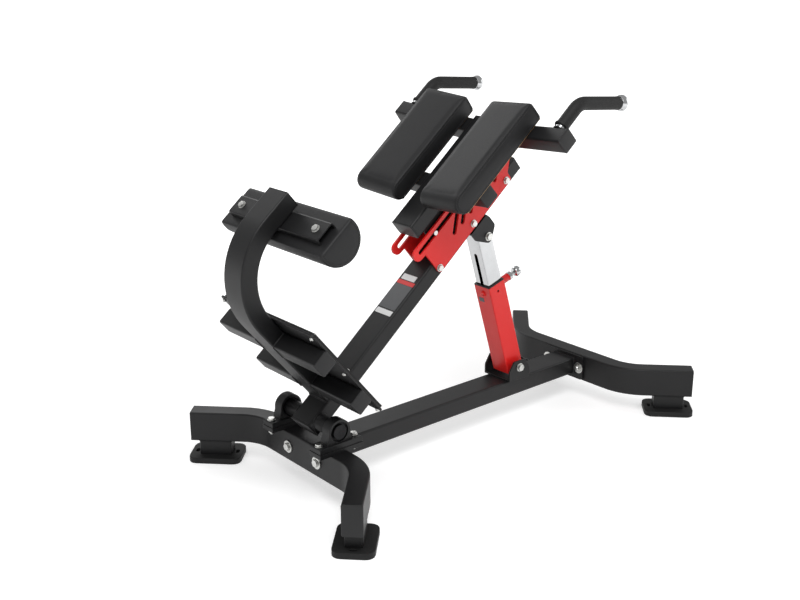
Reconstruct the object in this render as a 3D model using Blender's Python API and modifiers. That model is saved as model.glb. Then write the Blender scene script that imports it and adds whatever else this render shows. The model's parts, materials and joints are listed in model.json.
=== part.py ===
"""Hyperextension bench: a folded-tube frame on four feet, a main beam on two pillow blocks held by a
telescopic strut, a pad carriage sliding along notched plates, and an arm with a foot roller.

Metres. X runs along the base beam towards the handles, Y across, Z up, and the bench stands on Z = 0.
"""

import math

import bmesh
import bpy
from mathutils import Matrix, Vector

# Stock sizes
BASE_W = 0.080
BASE_D = 0.050
TUBE_W = 0.075
TUBE_D = 0.045
TUBE_WALL = 0.003
TUBE_CORNER = 0.006
CAP_T = 0.003
GAP = 0.0003
WELD = 0.0022
SLIP = 0.0004
ROUND_STEPS = 16
FINE_STEPS = 24
BOLT_STEPS = 12
CORNER_STEPS = 2
CUT_LENGTH = 0.080

# Legs and feet
LEG_BOTTOM = 0.0535
LEG_SPREAD = 0.969
LEG_KNEE_Y = 0.2045
LEG_FLARE = math.radians(45)
LEG_REACH = 0.1925
LEG_BEND_R = 0.130
LEG_BEND_STEPS = 5
FOOT_SETBACK = 0.064
STEM_LENGTH = 0.085
STEM_WIDTH = 0.044
SOLE_LENGTH = 0.138
SOLE_WIDTH = 0.100
SOLE_T = 0.0155
SOLE_CORNER = 0.022
SOLE_SLOT_W = 0.009
SOLE_SLOT_LENGTH = 0.018
SOLE_SLOT_PITCH = 0.106

# Base beam
FLANGE_W = 0.150
FLANGE_H = 0.072
FLANGE_T = 0.006
FLANGE_CORNER = 0.008
VENT_R = 0.010
LEG_BOLT_PITCH = 0.120
LEG_BOLT_R = 0.006
LEG_BOLT_HEAD = 0.006
LEG_WASHER_R = 0.016
LEG_WASHER_T = 0.003

# Pivot bearings
PIVOT_SETBACK = 0.0055
BEARING_PLATE_L = 0.130
BEARING_PLATE_W = 0.044
BEARING_PLATE_T = 0.012
BLOCK_Y = 0.100
BLOCK_L = 0.127
BLOCK_BASE_W = 0.041
BLOCK_T = 0.028
BLOCK_BASE_H = 0.014
BLOCK_RISE = 0.0403
BLOCK_RING_R = 0.032
BLOCK_STEP_R = 0.004
BLOCK_TOE = 0.008
BLOCK_WAIST = math.radians(-8)
BLOCK_BOLT_PITCH = 0.105
BLOCK_BOLT_R = 0.005
RACE_R = 0.0252
RACE_W = 0.020
COLLAR_W = 0.0225
COLLAR_WALL = 0.005
SHAFT_R = 0.0125
SHAFT_LENGTH = 0.2236
SLEEVE_WALL = 0.0085
SLEEVE_CLEAR = 0.003
SHAFT_CAP_R = 0.0215
SHAFT_CAP_T = 0.004

# Main beam
BEAM_ANGLE = math.radians(39.9)
BEAM_START = -0.030
BEAM_END = 0.866

# Roller arm, steps and foot plate
ARM_U = 0.068
ARM_RISE = 0.452
ARM_BEND_R = 0.1635
ARM_BEND_STEPS = 8
ARM_END_U = 0.3175
STEP_PROUD = 0.006
LOW_STEP_RISE = 0.0556
HIGH_STEP_RISE = 0.2137
FOOT_PLATE_T = 0.0045
FOOT_PLATE_W = 0.382
FOOT_PLATE_TOP = 0.2875
FOOT_PLATE_DROP = 0.0233
FOOT_PLATE_CORNER = 0.012
FOOT_PLATE_NOTCH = 0.0015
FOOT_MAT_T = 0.006
FOOT_MAT_INSET = 0.004
SCREW_INSET = 0.011
SCREW_R = 0.003
SCREW_RISES = (-0.0135, 0.1366, 0.2750)

# Foot roller
ROLLER_R = 0.0592
ROLLER_U = 0.278
ROLLER_DROP = 0.0565
ROLLER_FLAT = 0.0175
ROLLER_LENGTH = 0.409
ROLLER_EDGE = 0.005
PAN_T = 0.003
PAN_LENGTH = 0.356
PAN_U = 0.2738
PAN_W = 0.0535
PAN_CORNER = 0.004
ROLLER_BOLT_INSET = 0.031
ROLLER_BOLT_R = 0.005
ROLLER_BOLT_DEPTH = 0.030

# Adjuster plates, with places along the beam and above its top face
PLATE_T = 0.006
PLATE_LOW_U = 0.4905
PLATE_HIGH_U = 0.8205
PLATE_TIP_U = 0.8635
PLATE_LOW_RISE = -0.035
PLATE_STEP_RISE = 0.041
PLATE_TOP_RISE = 0.0775
PLATE_TIP_RISE = 0.027
PLATE_CORNER_R = 0.008
PLATE_SMALL_R = 0.003
LOBE_U = 0.4750
CHANNEL_RISE = 0.060
CHANNEL_LOW_U = 0.4833
CHANNEL_HIGH_U = 0.845
SLIDE_PIN_R = 0.0064
SLIDE_PIN_PROUD = 0.001
NOTCH_COUNT = 6
NOTCH_FIRST_U = 0.5928
NOTCH_PITCH = 0.0366
NOTCH_RISE = 0.011
NOTCH_SLOPE = math.radians(40.5)
PLATE_BOLT_U = (0.500, 0.652, 0.804)
PLATE_BOLT_R = 0.005

# Pad carriage
CARRIAGE_LOW_U = 0.505
CARRIAGE_HIGH_U = 0.880
CARRIAGE_RISE = 0.109
SLIDE_PIN_U = 0.549
LOCK_NOTCH = 2
LUG_T = 0.005
LUG_OUT_Y = 0.034
LUG_CLEAR = 0.0008
LUG_LOW_U = 0.530
LUG_HIGH_U = 0.752
LUG_BAND = 0.016
LUG_TOE = 0.015
LUG_CORNER_R = 0.012
RAIL_RISE = 0.1021
RAIL_CANT = math.radians(5.3)
HIGH_RAIL_U = 0.8507
LOW_RAIL_U = 0.655
HIGH_RAIL_REACH = 0.3035
LOW_RAIL_REACH = 0.185
PAD_U = 0.7281
PAD_LENGTH = 0.3388
PAD_IN_Y = 0.0546
PAD_W = 0.1433
PAD_T = 0.057
PAD_CORNER = 0.009
BOARD_T = 0.012
BOARD_INSET = 0.004
BOARD_NOSE_INSET = 0.020
PAD_BOLT_R = 0.004
PAD_BOLT_PITCH = 0.056
LOCK_ROD_REACH = 0.052
LOCK_KNOB_R = 0.011
LOCK_KNOB_L = 0.014
LOCK_KNOB_EDGE = 0.002

# Handles
HANDLE_Y = 0.262
HANDLE_RISE = 0.1356
HANDLE_R = 0.014
HANDLE_WALL = 0.002
HANDLE_KNEE_U = 0.9645
HANDLE_BEND = math.radians(45)
HANDLE_BEND_R = 0.050
HANDLE_BEND_STEPS = 4
HANDLE_REACH = 0.1485
GRIP_R = 0.017
GRIP_START_U = 0.895
GRIP_CAP_R = 0.0205
GRIP_CAP_L = 0.023
GRIP_CAP_EDGE = 0.003
GRIP_PLUG_L = 0.020

# Telescopic strut, between its foot pin and its head pin
FOOT_PIN_X = 0.2095
FOOT_PIN_Z = 0.155
HEAD_PIN_U = 0.669
HEAD_PIN_DROP = 0.075
STRUT_W = 0.060
STRUT_WALL = 0.0025
STRUT_CORNER = 0.003
STRUT_TAIL = 0.012
STRUT_LENGTH = 0.282
INNER_W = 0.050
INNER_WALL = 0.0025
INNER_START = 0.112
INNER_HEAD = 0.018
GUIDE_T = 0.003
GUIDE_DEPTH = 0.055
PIN_BOLT_R = 0.006
BUSH_R = 0.0135
HEAD_PIN_SLACK = 0.003
LATCH_DROP = 0.022
LATCH_R = 0.005
LATCH_CLEAR = 0.001
BOSS_R = 0.011
BOSS_LENGTH = 0.040
BARREL_R = 0.012
BARREL_LENGTH = 0.0105
KNOB_R = 0.0145
KNOB_LENGTH = 0.024
KNOB_EDGE = 0.003
KNOB_STANDOFF = 0.012
SLOT_W = 0.012
SLOT_START = 0.165
SLOT_END = 0.372
STOP_SCREW_R = 0.003
SIDE_HOLE_R = 0.004
BRACKET_L = 0.080
BRACKET_W = 0.100
BRACKET_T = 0.005
BRACKET_TOP = 0.020
BRACKET_SLANT = 0.018
BRACKET_SLANT_DROP = 0.008
BRACKET_CORNER = 0.005
HEAD_BRACKET_W = 0.078
HEAD_BRACKET_LOW_U = 0.630
HEAD_BRACKET_HIGH_U = 0.701
HEAD_EAR = (
    (-0.038, -0.050, 0.012),
    (-0.006, -0.097, 0.014),
    (0.037, -0.068, 0.012),
    (0.036, -0.036, 0.008),
)

# Places that follow from the sizes above
BEAM_TOP = TUBE_D / 2
LEG_Z = LEG_BOTTOM + BASE_W / 2
LEG_TOP = LEG_BOTTOM + BASE_W
LEG_FACE_X = (LEG_SPREAD - BASE_D) / 2
BASE_BEAM_TOP = LEG_Z + BASE_D / 2
PIVOT_X = PIVOT_SETBACK - LEG_SPREAD / 2
PLATE_TOP_Z = LEG_TOP + BEARING_PLATE_T - WELD / 2
PIVOT_Z = PLATE_TOP_Z + GAP + BLOCK_RISE
SLIDE_SLOT_W = 2 * (SLIDE_PIN_R + SLIP)
PLATE_IN_Y = TUBE_W / 2 + GAP
PLATE_OUT_Y = PLATE_IN_Y + PLATE_T
NOTCH_DIRECTION = Vector((math.cos(NOTCH_SLOPE), math.sin(NOTCH_SLOPE)))
NOTCH_LENGTH = (CHANNEL_RISE - NOTCH_RISE) / NOTCH_DIRECTION.y
CHANNEL_Z = BEAM_TOP + CHANNEL_RISE
CARRIAGE_Z = BEAM_TOP + CARRIAGE_RISE
RAIL_Z = BEAM_TOP + RAIL_RISE
ARM_FACE_U = ARM_U + TUBE_D / 2
FOOT_PLATE_U = ARM_FACE_U + GAP + FOOT_PLATE_T / 2
MAT_U = ARM_FACE_U + FOOT_PLATE_T + 2 * GAP + FOOT_MAT_T / 2
STEP_REACH = FOOT_PLATE_W / 2 + STEP_PROUD
ROLLER_RISE = ARM_RISE - ROLLER_DROP
ROLLER_BACK_RISE = ROLLER_RISE + ROLLER_FLAT
ROLLER_BOLT_Y = PAN_LENGTH / 2 - ROLLER_BOLT_INSET
PAN_RISE = ARM_RISE - TUBE_D / 2 - GAP

PIVOT = Vector((PIVOT_X, 0, PIVOT_Z))
BEAM_ALONG = Vector((math.cos(BEAM_ANGLE), 0, math.sin(BEAM_ANGLE)))
BEAM_UP = Vector((-math.sin(BEAM_ANGLE), 0, math.cos(BEAM_ANGLE)))
FOOT_PIN = Vector((FOOT_PIN_X, 0, FOOT_PIN_Z))
HEAD_PIN = PIVOT + BEAM_ALONG * HEAD_PIN_U - BEAM_UP * HEAD_PIN_DROP
STRUT_SPAN = (HEAD_PIN - FOOT_PIN).length
STRUT_LEAN = math.atan2(FOOT_PIN.x - HEAD_PIN.x, HEAD_PIN.z - FOOT_PIN.z)
STRUT_RIM = STRUT_LENGTH - STRUT_TAIL
LATCH_HEIGHT = STRUT_RIM - LATCH_DROP

# Turns that lay a piece drawn in XY, or along Z, another way
UPRIGHT = Matrix.Rotation(math.radians(90), 4, "X")
ALONG_X = Matrix(((0, 0, 1, 0), (1, 0, 0, 0), (0, 1, 0, 0), (0, 0, 0, 1)))
ALONG_Y = Matrix(((-1, 0, 0, 0), (0, 0, 1, 0), (0, 1, 0, 0), (0, 0, 0, 1)))
FLAT = Matrix.Identity(4)


def clear_scene():
    for obj in list(bpy.data.objects):
        bpy.data.objects.remove(obj)


def new_collection(name):
    made = bpy.data.collections.new(name)
    bpy.context.scene.collection.children.link(made)
    return made


def material(name, red, green, blue, roughness, metallic=0.0):
    """Principled material with its colour in linear light."""
    made = bpy.data.materials.new(name)
    made.use_nodes = True
    made.diffuse_color = (red, green, blue, 1)
    shader = made.node_tree.nodes["Principled BSDF"]
    shader.inputs["Base Color"].default_value = (red, green, blue, 1)
    shader.inputs["Roughness"].default_value = roughness
    shader.inputs["Metallic"].default_value = metallic
    return made


clear_scene()
PARTS = new_collection("hyperextension_bench")
GUIDES = new_collection("cutters")
GUIDES.hide_render = True

BLACK_PAINT = material("satin_black_powder_coat", 0.028, 0.028, 0.029, 0.45)
RED_PAINT = material("red_powder_coat", 0.66, 0.035, 0.035, 0.40)
CHROME = material("chrome_plate", 0.75, 0.75, 0.75, 0.12, 1.0)
ZINC = material("bright_zinc", 0.70, 0.70, 0.70, 0.30, 1.0)
VINYL = material("black_vinyl", 0.035, 0.035, 0.036, 0.55)
RUBBER = material("black_rubber", 0.020, 0.020, 0.020, 0.75)
PLASTIC = material("black_plastic", 0.022, 0.022, 0.022, 0.50)
PLYWOOD = material("birch_plywood", 0.45, 0.30, 0.17, 0.65)
DARK_STEEL = material("blackened_steel", 0.030, 0.030, 0.031, 0.40, 1.0)


# Objects and frames


def empty(name, parent=None, location=(0, 0, 0), turn_y=0.0, turn_x=0.0):
    made = bpy.data.objects.new(name, None)
    made.empty_display_size = 0.05
    made.location = location
    made.rotation_euler = (turn_x, turn_y, 0)
    made.parent = parent
    PARTS.objects.link(made)
    return made


def piece(name, mesh, look, parent):
    """A named sub-part at its parent's origin, with its own material and smooth round faces."""
    made = bpy.data.objects.new(name, mesh)
    mesh.materials.clear()
    mesh.materials.append(look)
    mesh.shade_smooth()
    mesh.set_sharp_from_angle(angle=math.radians(35))
    made.parent = parent
    PARTS.objects.link(made)
    return made


def modifier(obj, kind, **settings):
    made = obj.modifiers.new(kind.lower(), kind)
    for setting, value in settings.items():
        setattr(made, setting, value)
    return made


def guide(mesh, parent):
    made = bpy.data.objects.new("cutter", mesh)
    made.hide_render = True
    made.display_type = "WIRE"
    made.parent = parent
    GUIDES.objects.link(made)
    return made


def combine(obj, mesh, operation):
    other = guide(mesh, obj.parent)
    other.location = obj.location
    other.rotation_euler = obj.rotation_euler
    modifier(obj, "BOOLEAN", operation=operation, solver="EXACT", object=other)


def cut(obj, *meshes):
    for mesh in meshes:
        combine(obj, mesh, "DIFFERENCE")


def join(obj, *meshes):
    for mesh in meshes:
        combine(obj, mesh, "UNION")


def evaluated(obj):
    """The object's mesh with its modifiers applied, after which the object is removed."""
    graph = bpy.context.evaluated_depsgraph_get()
    mesh = bpy.data.meshes.new_from_object(obj.evaluated_get(graph))
    bpy.data.objects.remove(obj)
    return mesh


def scratch(mesh):
    made = bpy.data.objects.new("scratch", mesh)
    GUIDES.objects.link(made)
    return made


def mesh_of(bm, lay=FLAT):
    """Turns a bmesh into a mesh with its doubles merged and its faces out."""
    bmesh.ops.remove_doubles(bm, verts=bm.verts, dist=1e-6)
    bmesh.ops.transform(bm, matrix=lay, verts=bm.verts)
    bmesh.ops.recalc_face_normals(bm, faces=bm.faces)
    mesh = bpy.data.meshes.new("shape")
    bm.to_mesh(mesh)
    bm.free()
    return mesh


def at(x, y, z, lay=FLAT):
    return Matrix.Translation((x, y, z)) @ lay


# Shapes


def arc(centre, radius, start, angle, steps):
    """Points on an arc, both ends included."""
    middle = Vector(centre)
    turns = [start + angle * step / steps for step in range(steps + 1)]
    return [middle + radius * Vector((math.cos(turn), math.sin(turn))) for turn in turns]


def outline(corners, steps=4):
    """Closed outline through corners given as (x, y, radius), each rounded by its radius."""
    points = []
    for index, (x, y, radius) in enumerate(corners):
        here = Vector((x, y))
        if not radius:
            points.append(here)
            continue
        before = (Vector(corners[index - 1][:2]) - here).normalized()
        after = (Vector(corners[(index + 1) % len(corners)][:2]) - here).normalized()
        half = before.angle(after) / 2
        reach = radius / math.tan(half)
        centre = here + (before + after).normalized() * radius / math.sin(half)
        first = here + before * reach - centre
        last = here + after * reach - centre
        start = math.atan2(first.y, first.x)
        angle = (math.atan2(last.y, last.x) - start + math.pi) % math.tau - math.pi
        points += arc(centre, radius, start, angle, steps)
    return points


def circle(x, y, radius, steps=ROUND_STEPS):
    return arc((x, y), radius, 0, math.tau, steps)[:-1]


def capsule(first, last, width, steps=8):
    """Outline of a slot between two centres."""
    along = Vector(last) - Vector(first)
    side = math.atan2(along.y, along.x)
    low = arc(first, width / 2, side + math.pi / 2, math.pi, steps)
    high = arc(last, width / 2, side - math.pi / 2, math.pi, steps)
    return low + high


def sheet(rings, thickness, lay=FLAT):
    """Flat plate: the first ring is its outline and the others are its holes."""
    curve = bpy.data.curves.new("outline", "CURVE")
    curve.dimensions = "2D"
    curve.fill_mode = "BOTH"
    curve.extrude = thickness / 2
    for ring in rings:
        spline = curve.splines.new("POLY")
        spline.points.add(len(ring) - 1)
        spline.use_cyclic_u = True
        for point, place in zip(spline.points, ring):
            point.co = (place[0], place[1], 0, 1)
    drawn = bpy.data.objects.new("outline", curve)
    GUIDES.objects.link(drawn)
    mesh = evaluated(drawn)
    bpy.data.curves.remove(curve)
    bm = bmesh.new()
    bm.from_mesh(mesh)
    return mesh_of(bm, lay)


def block(length, width, height, lay=FLAT):
    bm = bmesh.new()
    bmesh.ops.create_cube(bm, size=1)
    bmesh.ops.scale(bm, vec=(length, width, height), verts=bm.verts)
    return mesh_of(bm, lay)


def cylinder(radius, length, lay=FLAT, steps=ROUND_STEPS):
    bm = bmesh.new()
    bmesh.ops.create_cone(
        bm, cap_ends=True, segments=steps, radius1=radius, radius2=radius, depth=length
    )
    return mesh_of(bm, lay)


def turned(profile, lay=FLAT, steps=ROUND_STEPS):
    """Solid of revolution about Z from (radius, height) points that run down its outer side."""
    bm = bmesh.new()
    points = [bm.verts.new((radius, 0, height)) for radius, height in profile]
    ends = list(zip(points, points[1:]))
    if profile[0][0] > 0:
        ends.append((points[-1], points[0]))
    for pair in ends:
        bm.edges.new(pair)
    mesh = bpy.data.meshes.new("profile")
    bm.to_mesh(mesh)
    bm.free()
    drawn = scratch(mesh)
    modifier(
        drawn,
        "SCREW",
        steps=steps,
        render_steps=steps,
        use_merge_vertices=True,
        merge_threshold=0.00001,
    )
    bm = bmesh.new()
    bm.from_mesh(evaluated(drawn))
    return mesh_of(bm, lay)


def ring_profile(outer, inner, length):
    half = length / 2
    return [(outer, half), (outer, -half), (inner, -half), (inner, half)]


def rounded_loop(bm, width, depth, radius=TUBE_CORNER):
    """Loop of edges in XY: a rectangle with round corners."""
    made = bmesh.ops.create_grid(bm, x_segments=1, y_segments=1, size=0.5)["verts"]
    bmesh.ops.scale(bm, vec=(width, depth, 1), verts=made)
    bmesh.ops.bevel(
        bm, geom=made, offset=radius, segments=CORNER_STEPS, profile=0.5, affect="VERTICES"
    )
    bmesh.ops.delete(bm, geom=bm.faces[:], context="FACES_ONLY")
    return bm.edges[:]


def round_loop(bm, radius):
    bmesh.ops.create_circle(bm, cap_ends=False, radius=radius, segments=ROUND_STEPS)
    return bm.edges[:]


def only(kind, found):
    return [item for item in found if isinstance(item, kind)]


def run_straight(bm, loop, along):
    made = bmesh.ops.extrude_edge_only(bm, edges=loop)["geom"]
    bmesh.ops.translate(bm, vec=along, verts=only(bmesh.types.BMVert, made))
    return only(bmesh.types.BMEdge, made)


def run_turn(bm, loop, centre, axis, angle, steps):
    ends = list({vert for edge in loop for vert in edge.verts})
    made = bmesh.ops.spin(
        bm, geom=loop + ends, cent=centre, axis=axis, angle=angle, steps=steps, use_duplicate=False
    )
    return only(bmesh.types.BMEdge, made["geom_last"])


def hollow(name, bm, wall, look, parent, lay=FLAT, mirror=False):
    """Open tube skin that gets its wall inwards, so the outside keeps the drawn size."""
    made = piece(name, mesh_of(bm, lay), look, parent)
    if mirror:
        modifier(
            made,
            "MIRROR",
            use_axis=(False, True, False),
            use_clip=True,
            merge_threshold=0.00001,
        )
    modifier(made, "SOLIDIFY", thickness=wall, offset=-1, use_even_offset=True)
    return made


def straight_tube(name, width, depth, start, end, look, parent, lay, wall=TUBE_WALL, corner=TUBE_CORNER):
    """Rectangular tube along its lay's Z, from start to end on that axis."""
    bm = bmesh.new()
    loop = rounded_loop(bm, width, depth, corner)
    run_straight(bm, loop, (0, 0, end - start))
    return hollow(name, bm, wall, look, parent, lay @ at(0, 0, start))


def hex_bolt(radius, length):
    """Hexagon bolt: its head stands on Z = 0 and its shank runs down by its length."""
    head = scratch(cylinder(1.75 * radius, 1.3 * radius, at(0, 0, 0.65 * radius), 6))
    overlap = radius / 2
    shank = cylinder(radius, length + overlap, at(0, 0, (overlap - length) / 2), BOLT_STEPS)
    combine(head, shank, "UNION")
    return evaluated(head)


def nutted_bolt(radius, grip):
    """Bolt with its nut run up to the far side of what it grips."""
    bolt = scratch(hex_bolt(radius, grip + 2.2 * radius))
    nut = cylinder(1.75 * radius, 1.4 * radius, at(0, 0, -grip - 0.7 * radius), 6)
    combine(bolt, nut, "UNION")
    return evaluated(bolt)


def washer_bolt(radius, grip):
    """Low-headed bolt with its nut, each on a broad washer; the washer under the head stands on Z = 0."""
    low = -grip - LEG_WASHER_T
    end = low - 2 * radius
    profile = [(0, LEG_WASHER_T), (LEG_WASHER_R, LEG_WASHER_T), (LEG_WASHER_R, 0), (radius, 0)]
    profile += [(radius, -grip), (LEG_WASHER_R, -grip), (LEG_WASHER_R, low), (radius, low)]
    profile += [(radius, end), (0, end)]
    bolt = scratch(turned(profile))
    height = LEG_BOLT_HEAD + LEG_WASHER_T / 2
    for place in (LEG_WASHER_T / 2 + height / 2, low + LEG_WASHER_T / 2 - height / 2):
        combine(bolt, cylinder(1.75 * radius, height, at(0, 0, place), 6), "UNION")
    return evaluated(bolt)


def copies(name, mesh, places, look, parent):
    """Separate objects that share one mesh: places maps the end of each name to its matrix."""
    for ending, matrix in places.items():
        made = piece(name + "_" + ending, mesh, look, parent)
        made.matrix_local = matrix


def facing(place, outward, across):
    """Matrix that puts an object's Z along outward and its X along across."""
    side = Vector(outward).cross(Vector(across))
    axes = Matrix((across, side, outward)).transposed().to_4x4()
    return Matrix.Translation(place) @ axes


def both_sides():
    return (("left", 1), ("right", -1))


# Base


def leg_path(bm):
    """Half of a leg from the middle of the bench, bent outwards, with its tube section in XZ."""
    loop = rounded_loop(bm, BASE_D, BASE_W)
    bmesh.ops.transform(bm, matrix=UPRIGHT, verts=bm.verts)
    tangent = LEG_BEND_R * math.tan(LEG_FLARE / 2)
    knee = LEG_KNEE_Y - tangent
    loop = run_straight(bm, loop, (0, knee, 0))
    loop = run_turn(bm, loop, (-LEG_BEND_R, knee, 0), (0, 0, 1), LEG_FLARE, LEG_BEND_STEPS)
    along = Vector((-math.sin(LEG_FLARE), math.cos(LEG_FLARE), 0))
    run_straight(bm, loop, along * (LEG_REACH - tangent))


def leg_point(reach, side):
    """Point on a front leg's centre line, reach from its knee, and its outward direction."""
    along = Vector((-math.sin(LEG_FLARE), side * math.cos(LEG_FLARE), 0))
    return Vector((-LEG_SPREAD / 2, side * LEG_KNEE_Y, LEG_Z)) + along * reach, along


def leg_ends():
    """The four leg ends: a matrix that turns the front of the bench to either end, and the side."""
    half_turn = Matrix.Rotation(math.pi, 4, "Z")
    return [(end, side) for end in (FLAT, half_turn) for side in (1, -1)]


def leg_bolt_places():
    places = {}
    for end_name, end in (("front", FLAT), ("rear", Matrix.Rotation(math.pi, 4, "Z"))):
        for side_name, side in both_sides():
            place = Vector((-(LEG_SPREAD + BASE_D) / 2 - GAP, side * LEG_BOLT_PITCH / 2, LEG_Z))
            turn = facing(place, Vector((-1, 0, 0)), Vector((0, 0, 1)))
            places[end_name + "_" + side_name] = end @ turn
    return places


def foot_stem():
    """Short upright tube, drawn with its top at Z = 0."""
    height = LEG_BOTTOM - GAP - SOLE_T
    bm = bmesh.new()
    run_straight(bm, rounded_loop(bm, STEM_LENGTH, STEM_WIDTH), (0, 0, height + WELD))
    skin = scratch(mesh_of(bm, at(0, 0, -height)))
    modifier(skin, "SOLIDIFY", thickness=TUBE_WALL, offset=-1, use_even_offset=True)
    return evaluated(skin)


def legs(bench):
    """Bent legs with their foot stems welded under them, and the bearing plates on the front one."""
    stem = foot_stem()
    for name, turn in (("front_leg", 0), ("rear_leg", math.pi)):
        bm = bmesh.new()
        leg_path(bm)
        leg = hollow(name, bm, TUBE_WALL, BLACK_PAINT, bench, at(-LEG_SPREAD / 2, 0, LEG_Z), mirror=True)
        leg.rotation_euler = (0, 0, turn)
        for side in (1, -1):
            place, along = leg_point(LEG_REACH - FOOT_SETBACK, side)
            place.z = LEG_BOTTOM
            welded = stem.copy()
            welded.transform(facing(place, Vector((0, 0, 1)), along))
            join(leg, welded)
        if name == "front_leg":
            join(leg, *[bearing_plate(side) for side in (1, -1)])
        for side in (1, -1):
            place = at(-LEG_SPREAD / 2, side * LEG_BOLT_PITCH / 2, LEG_Z, ALONG_X)
            cut(leg, cylinder(LEG_BOLT_R + GAP, CUT_LENGTH, place, BOLT_STEPS))
    for matrix in block_bolt_places().values():
        cut(PARTS.objects["front_leg"], cylinder(BLOCK_BOLT_R + GAP, CUT_LENGTH, matrix, BOLT_STEPS))


def soles(bench):
    half_l = SOLE_LENGTH / 2
    half_w = SOLE_WIDTH / 2
    edge = [(half_l, half_w), (-half_l, half_w), (-half_l, -half_w), (half_l, -half_w)]
    rings = [outline([(x, y, SOLE_CORNER) for x, y in edge])]
    for side in (1, -1):
        x = side * SOLE_SLOT_PITCH / 2
        reach = (SOLE_SLOT_LENGTH - SOLE_SLOT_W) / 2
        rings.append(capsule((x, -reach), (x, reach), SOLE_SLOT_W, 4))
    sole = sheet(rings, SOLE_T)
    places = {}
    names = ("front_left", "front_right", "rear_right", "rear_left")
    for name, (end, side) in zip(names, leg_ends()):
        place, along = leg_point(LEG_REACH - FOOT_SETBACK, side)
        place.z = SOLE_T / 2
        places[name] = end @ facing(place, Vector((0, 0, 1)), along)
    copies("sole", sole, places, RUBBER, bench)


def base_beam(bench):
    """Beam between the legs with a flange welded on each end."""
    face_x = LEG_FACE_X - GAP
    end_x = face_x - FLANGE_T + WELD
    beam = straight_tube(
        "base_beam", BASE_W, BASE_D, -end_x, end_x, BLACK_PAINT, bench, at(0, 0, LEG_Z, ALONG_X)
    )
    half_w = FLANGE_W / 2
    half_h = FLANGE_H / 2
    edge = [(half_w, half_h), (-half_w, half_h), (-half_w, -half_h), (half_w, -half_h)]
    rings = [outline([(x, y, FLANGE_CORNER) for x, y in edge])]
    rings += [circle(side * LEG_BOLT_PITCH / 2, 0, LEG_BOLT_R + GAP, BOLT_STEPS) for side in (1, -1)]
    rings.append(circle(0, 0, VENT_R, BOLT_STEPS))
    for side in (1, -1):
        place = at(side * (face_x - FLANGE_T / 2), 0, LEG_Z, ALONG_X)
        join(beam, sheet(rings, FLANGE_T, place))
    grip = BASE_D + FLANGE_T + 3 * GAP
    copies("leg_bolt", washer_bolt(LEG_BOLT_R, grip), leg_bolt_places(), ZINC, bench)


def block_foot():
    """End view of a pillow block's foot, about its bore."""
    half = BLOCK_L / 2
    low = -BLOCK_RISE
    top = low + BLOCK_BASE_H
    step = BLOCK_STEP_R
    return outline([(half, low, 0), (half, top, step), (-half, top, step), (-half, low, 0)], 3)


def block_rings():
    """Round housing about the bore, with its sides run down into the foot."""
    low = BLOCK_BASE_H / 2 - BLOCK_RISE
    toe = BLOCK_RING_R + BLOCK_TOE
    dome = arc((0, 0), BLOCK_RING_R, BLOCK_WAIST, math.pi - 2 * BLOCK_WAIST, ROUND_STEPS)
    sides = [Vector((-toe, low)), Vector((toe, low))]
    return [dome + sides, circle(0, 0, RACE_R + GAP, FINE_STEPS)]


def bearing_plate(side):
    place = at(PIVOT_X, side * BLOCK_Y, PLATE_TOP_Z - BEARING_PLATE_T / 2)
    return block(BEARING_PLATE_L, BEARING_PLATE_W, BEARING_PLATE_T, place)


def block_bolt_places():
    places = {}
    for name, side in both_sides():
        for end_name, end in (("front", -1), ("rear", 1)):
            x = PIVOT_X + end * BLOCK_BOLT_PITCH / 2
            places[end_name + "_" + name] = at(x, side * BLOCK_Y, PLATE_TOP_Z + BLOCK_BASE_H + 2 * GAP)
    return places


def bearings(bench):
    for name, side in both_sides():
        lay = at(PIVOT_X, side * BLOCK_Y, PIVOT_Z, UPRIGHT)
        foot = sheet([block_foot()], BLOCK_BASE_W, lay)
        housing = piece("pillow_block_" + name, foot, BLACK_PAINT, bench)
        join(housing, sheet(block_rings(), BLOCK_T, lay))
        for place_name, matrix in block_bolt_places().items():
            if place_name.endswith(name):
                cut(housing, cylinder(BLOCK_BOLT_R + GAP, CUT_LENGTH, matrix, BOLT_STEPS))
    collar_r = SHAFT_R + GAP + COLLAR_WALL
    half = COLLAR_W / 2
    shoulder = RACE_W / 2
    profile = [
        (collar_r, half),
        (collar_r, shoulder),
        (RACE_R, shoulder),
        (RACE_R, -shoulder),
        (collar_r, -shoulder),
        (collar_r, -half),
        (SHAFT_R + GAP, -half),
        (SHAFT_R + GAP, half),
    ]
    places = {name: at(PIVOT_X, side * BLOCK_Y, PIVOT_Z) for name, side in both_sides()}
    copies("bearing_insert", turned(profile, ALONG_Y, FINE_STEPS), places, DARK_STEEL, bench)
    grip = BEARING_PLATE_T + BLOCK_BASE_H + 3 * GAP
    copies("block_bolt", nutted_bolt(BLOCK_BOLT_R, grip), block_bolt_places(), ZINC, bench)


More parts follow.
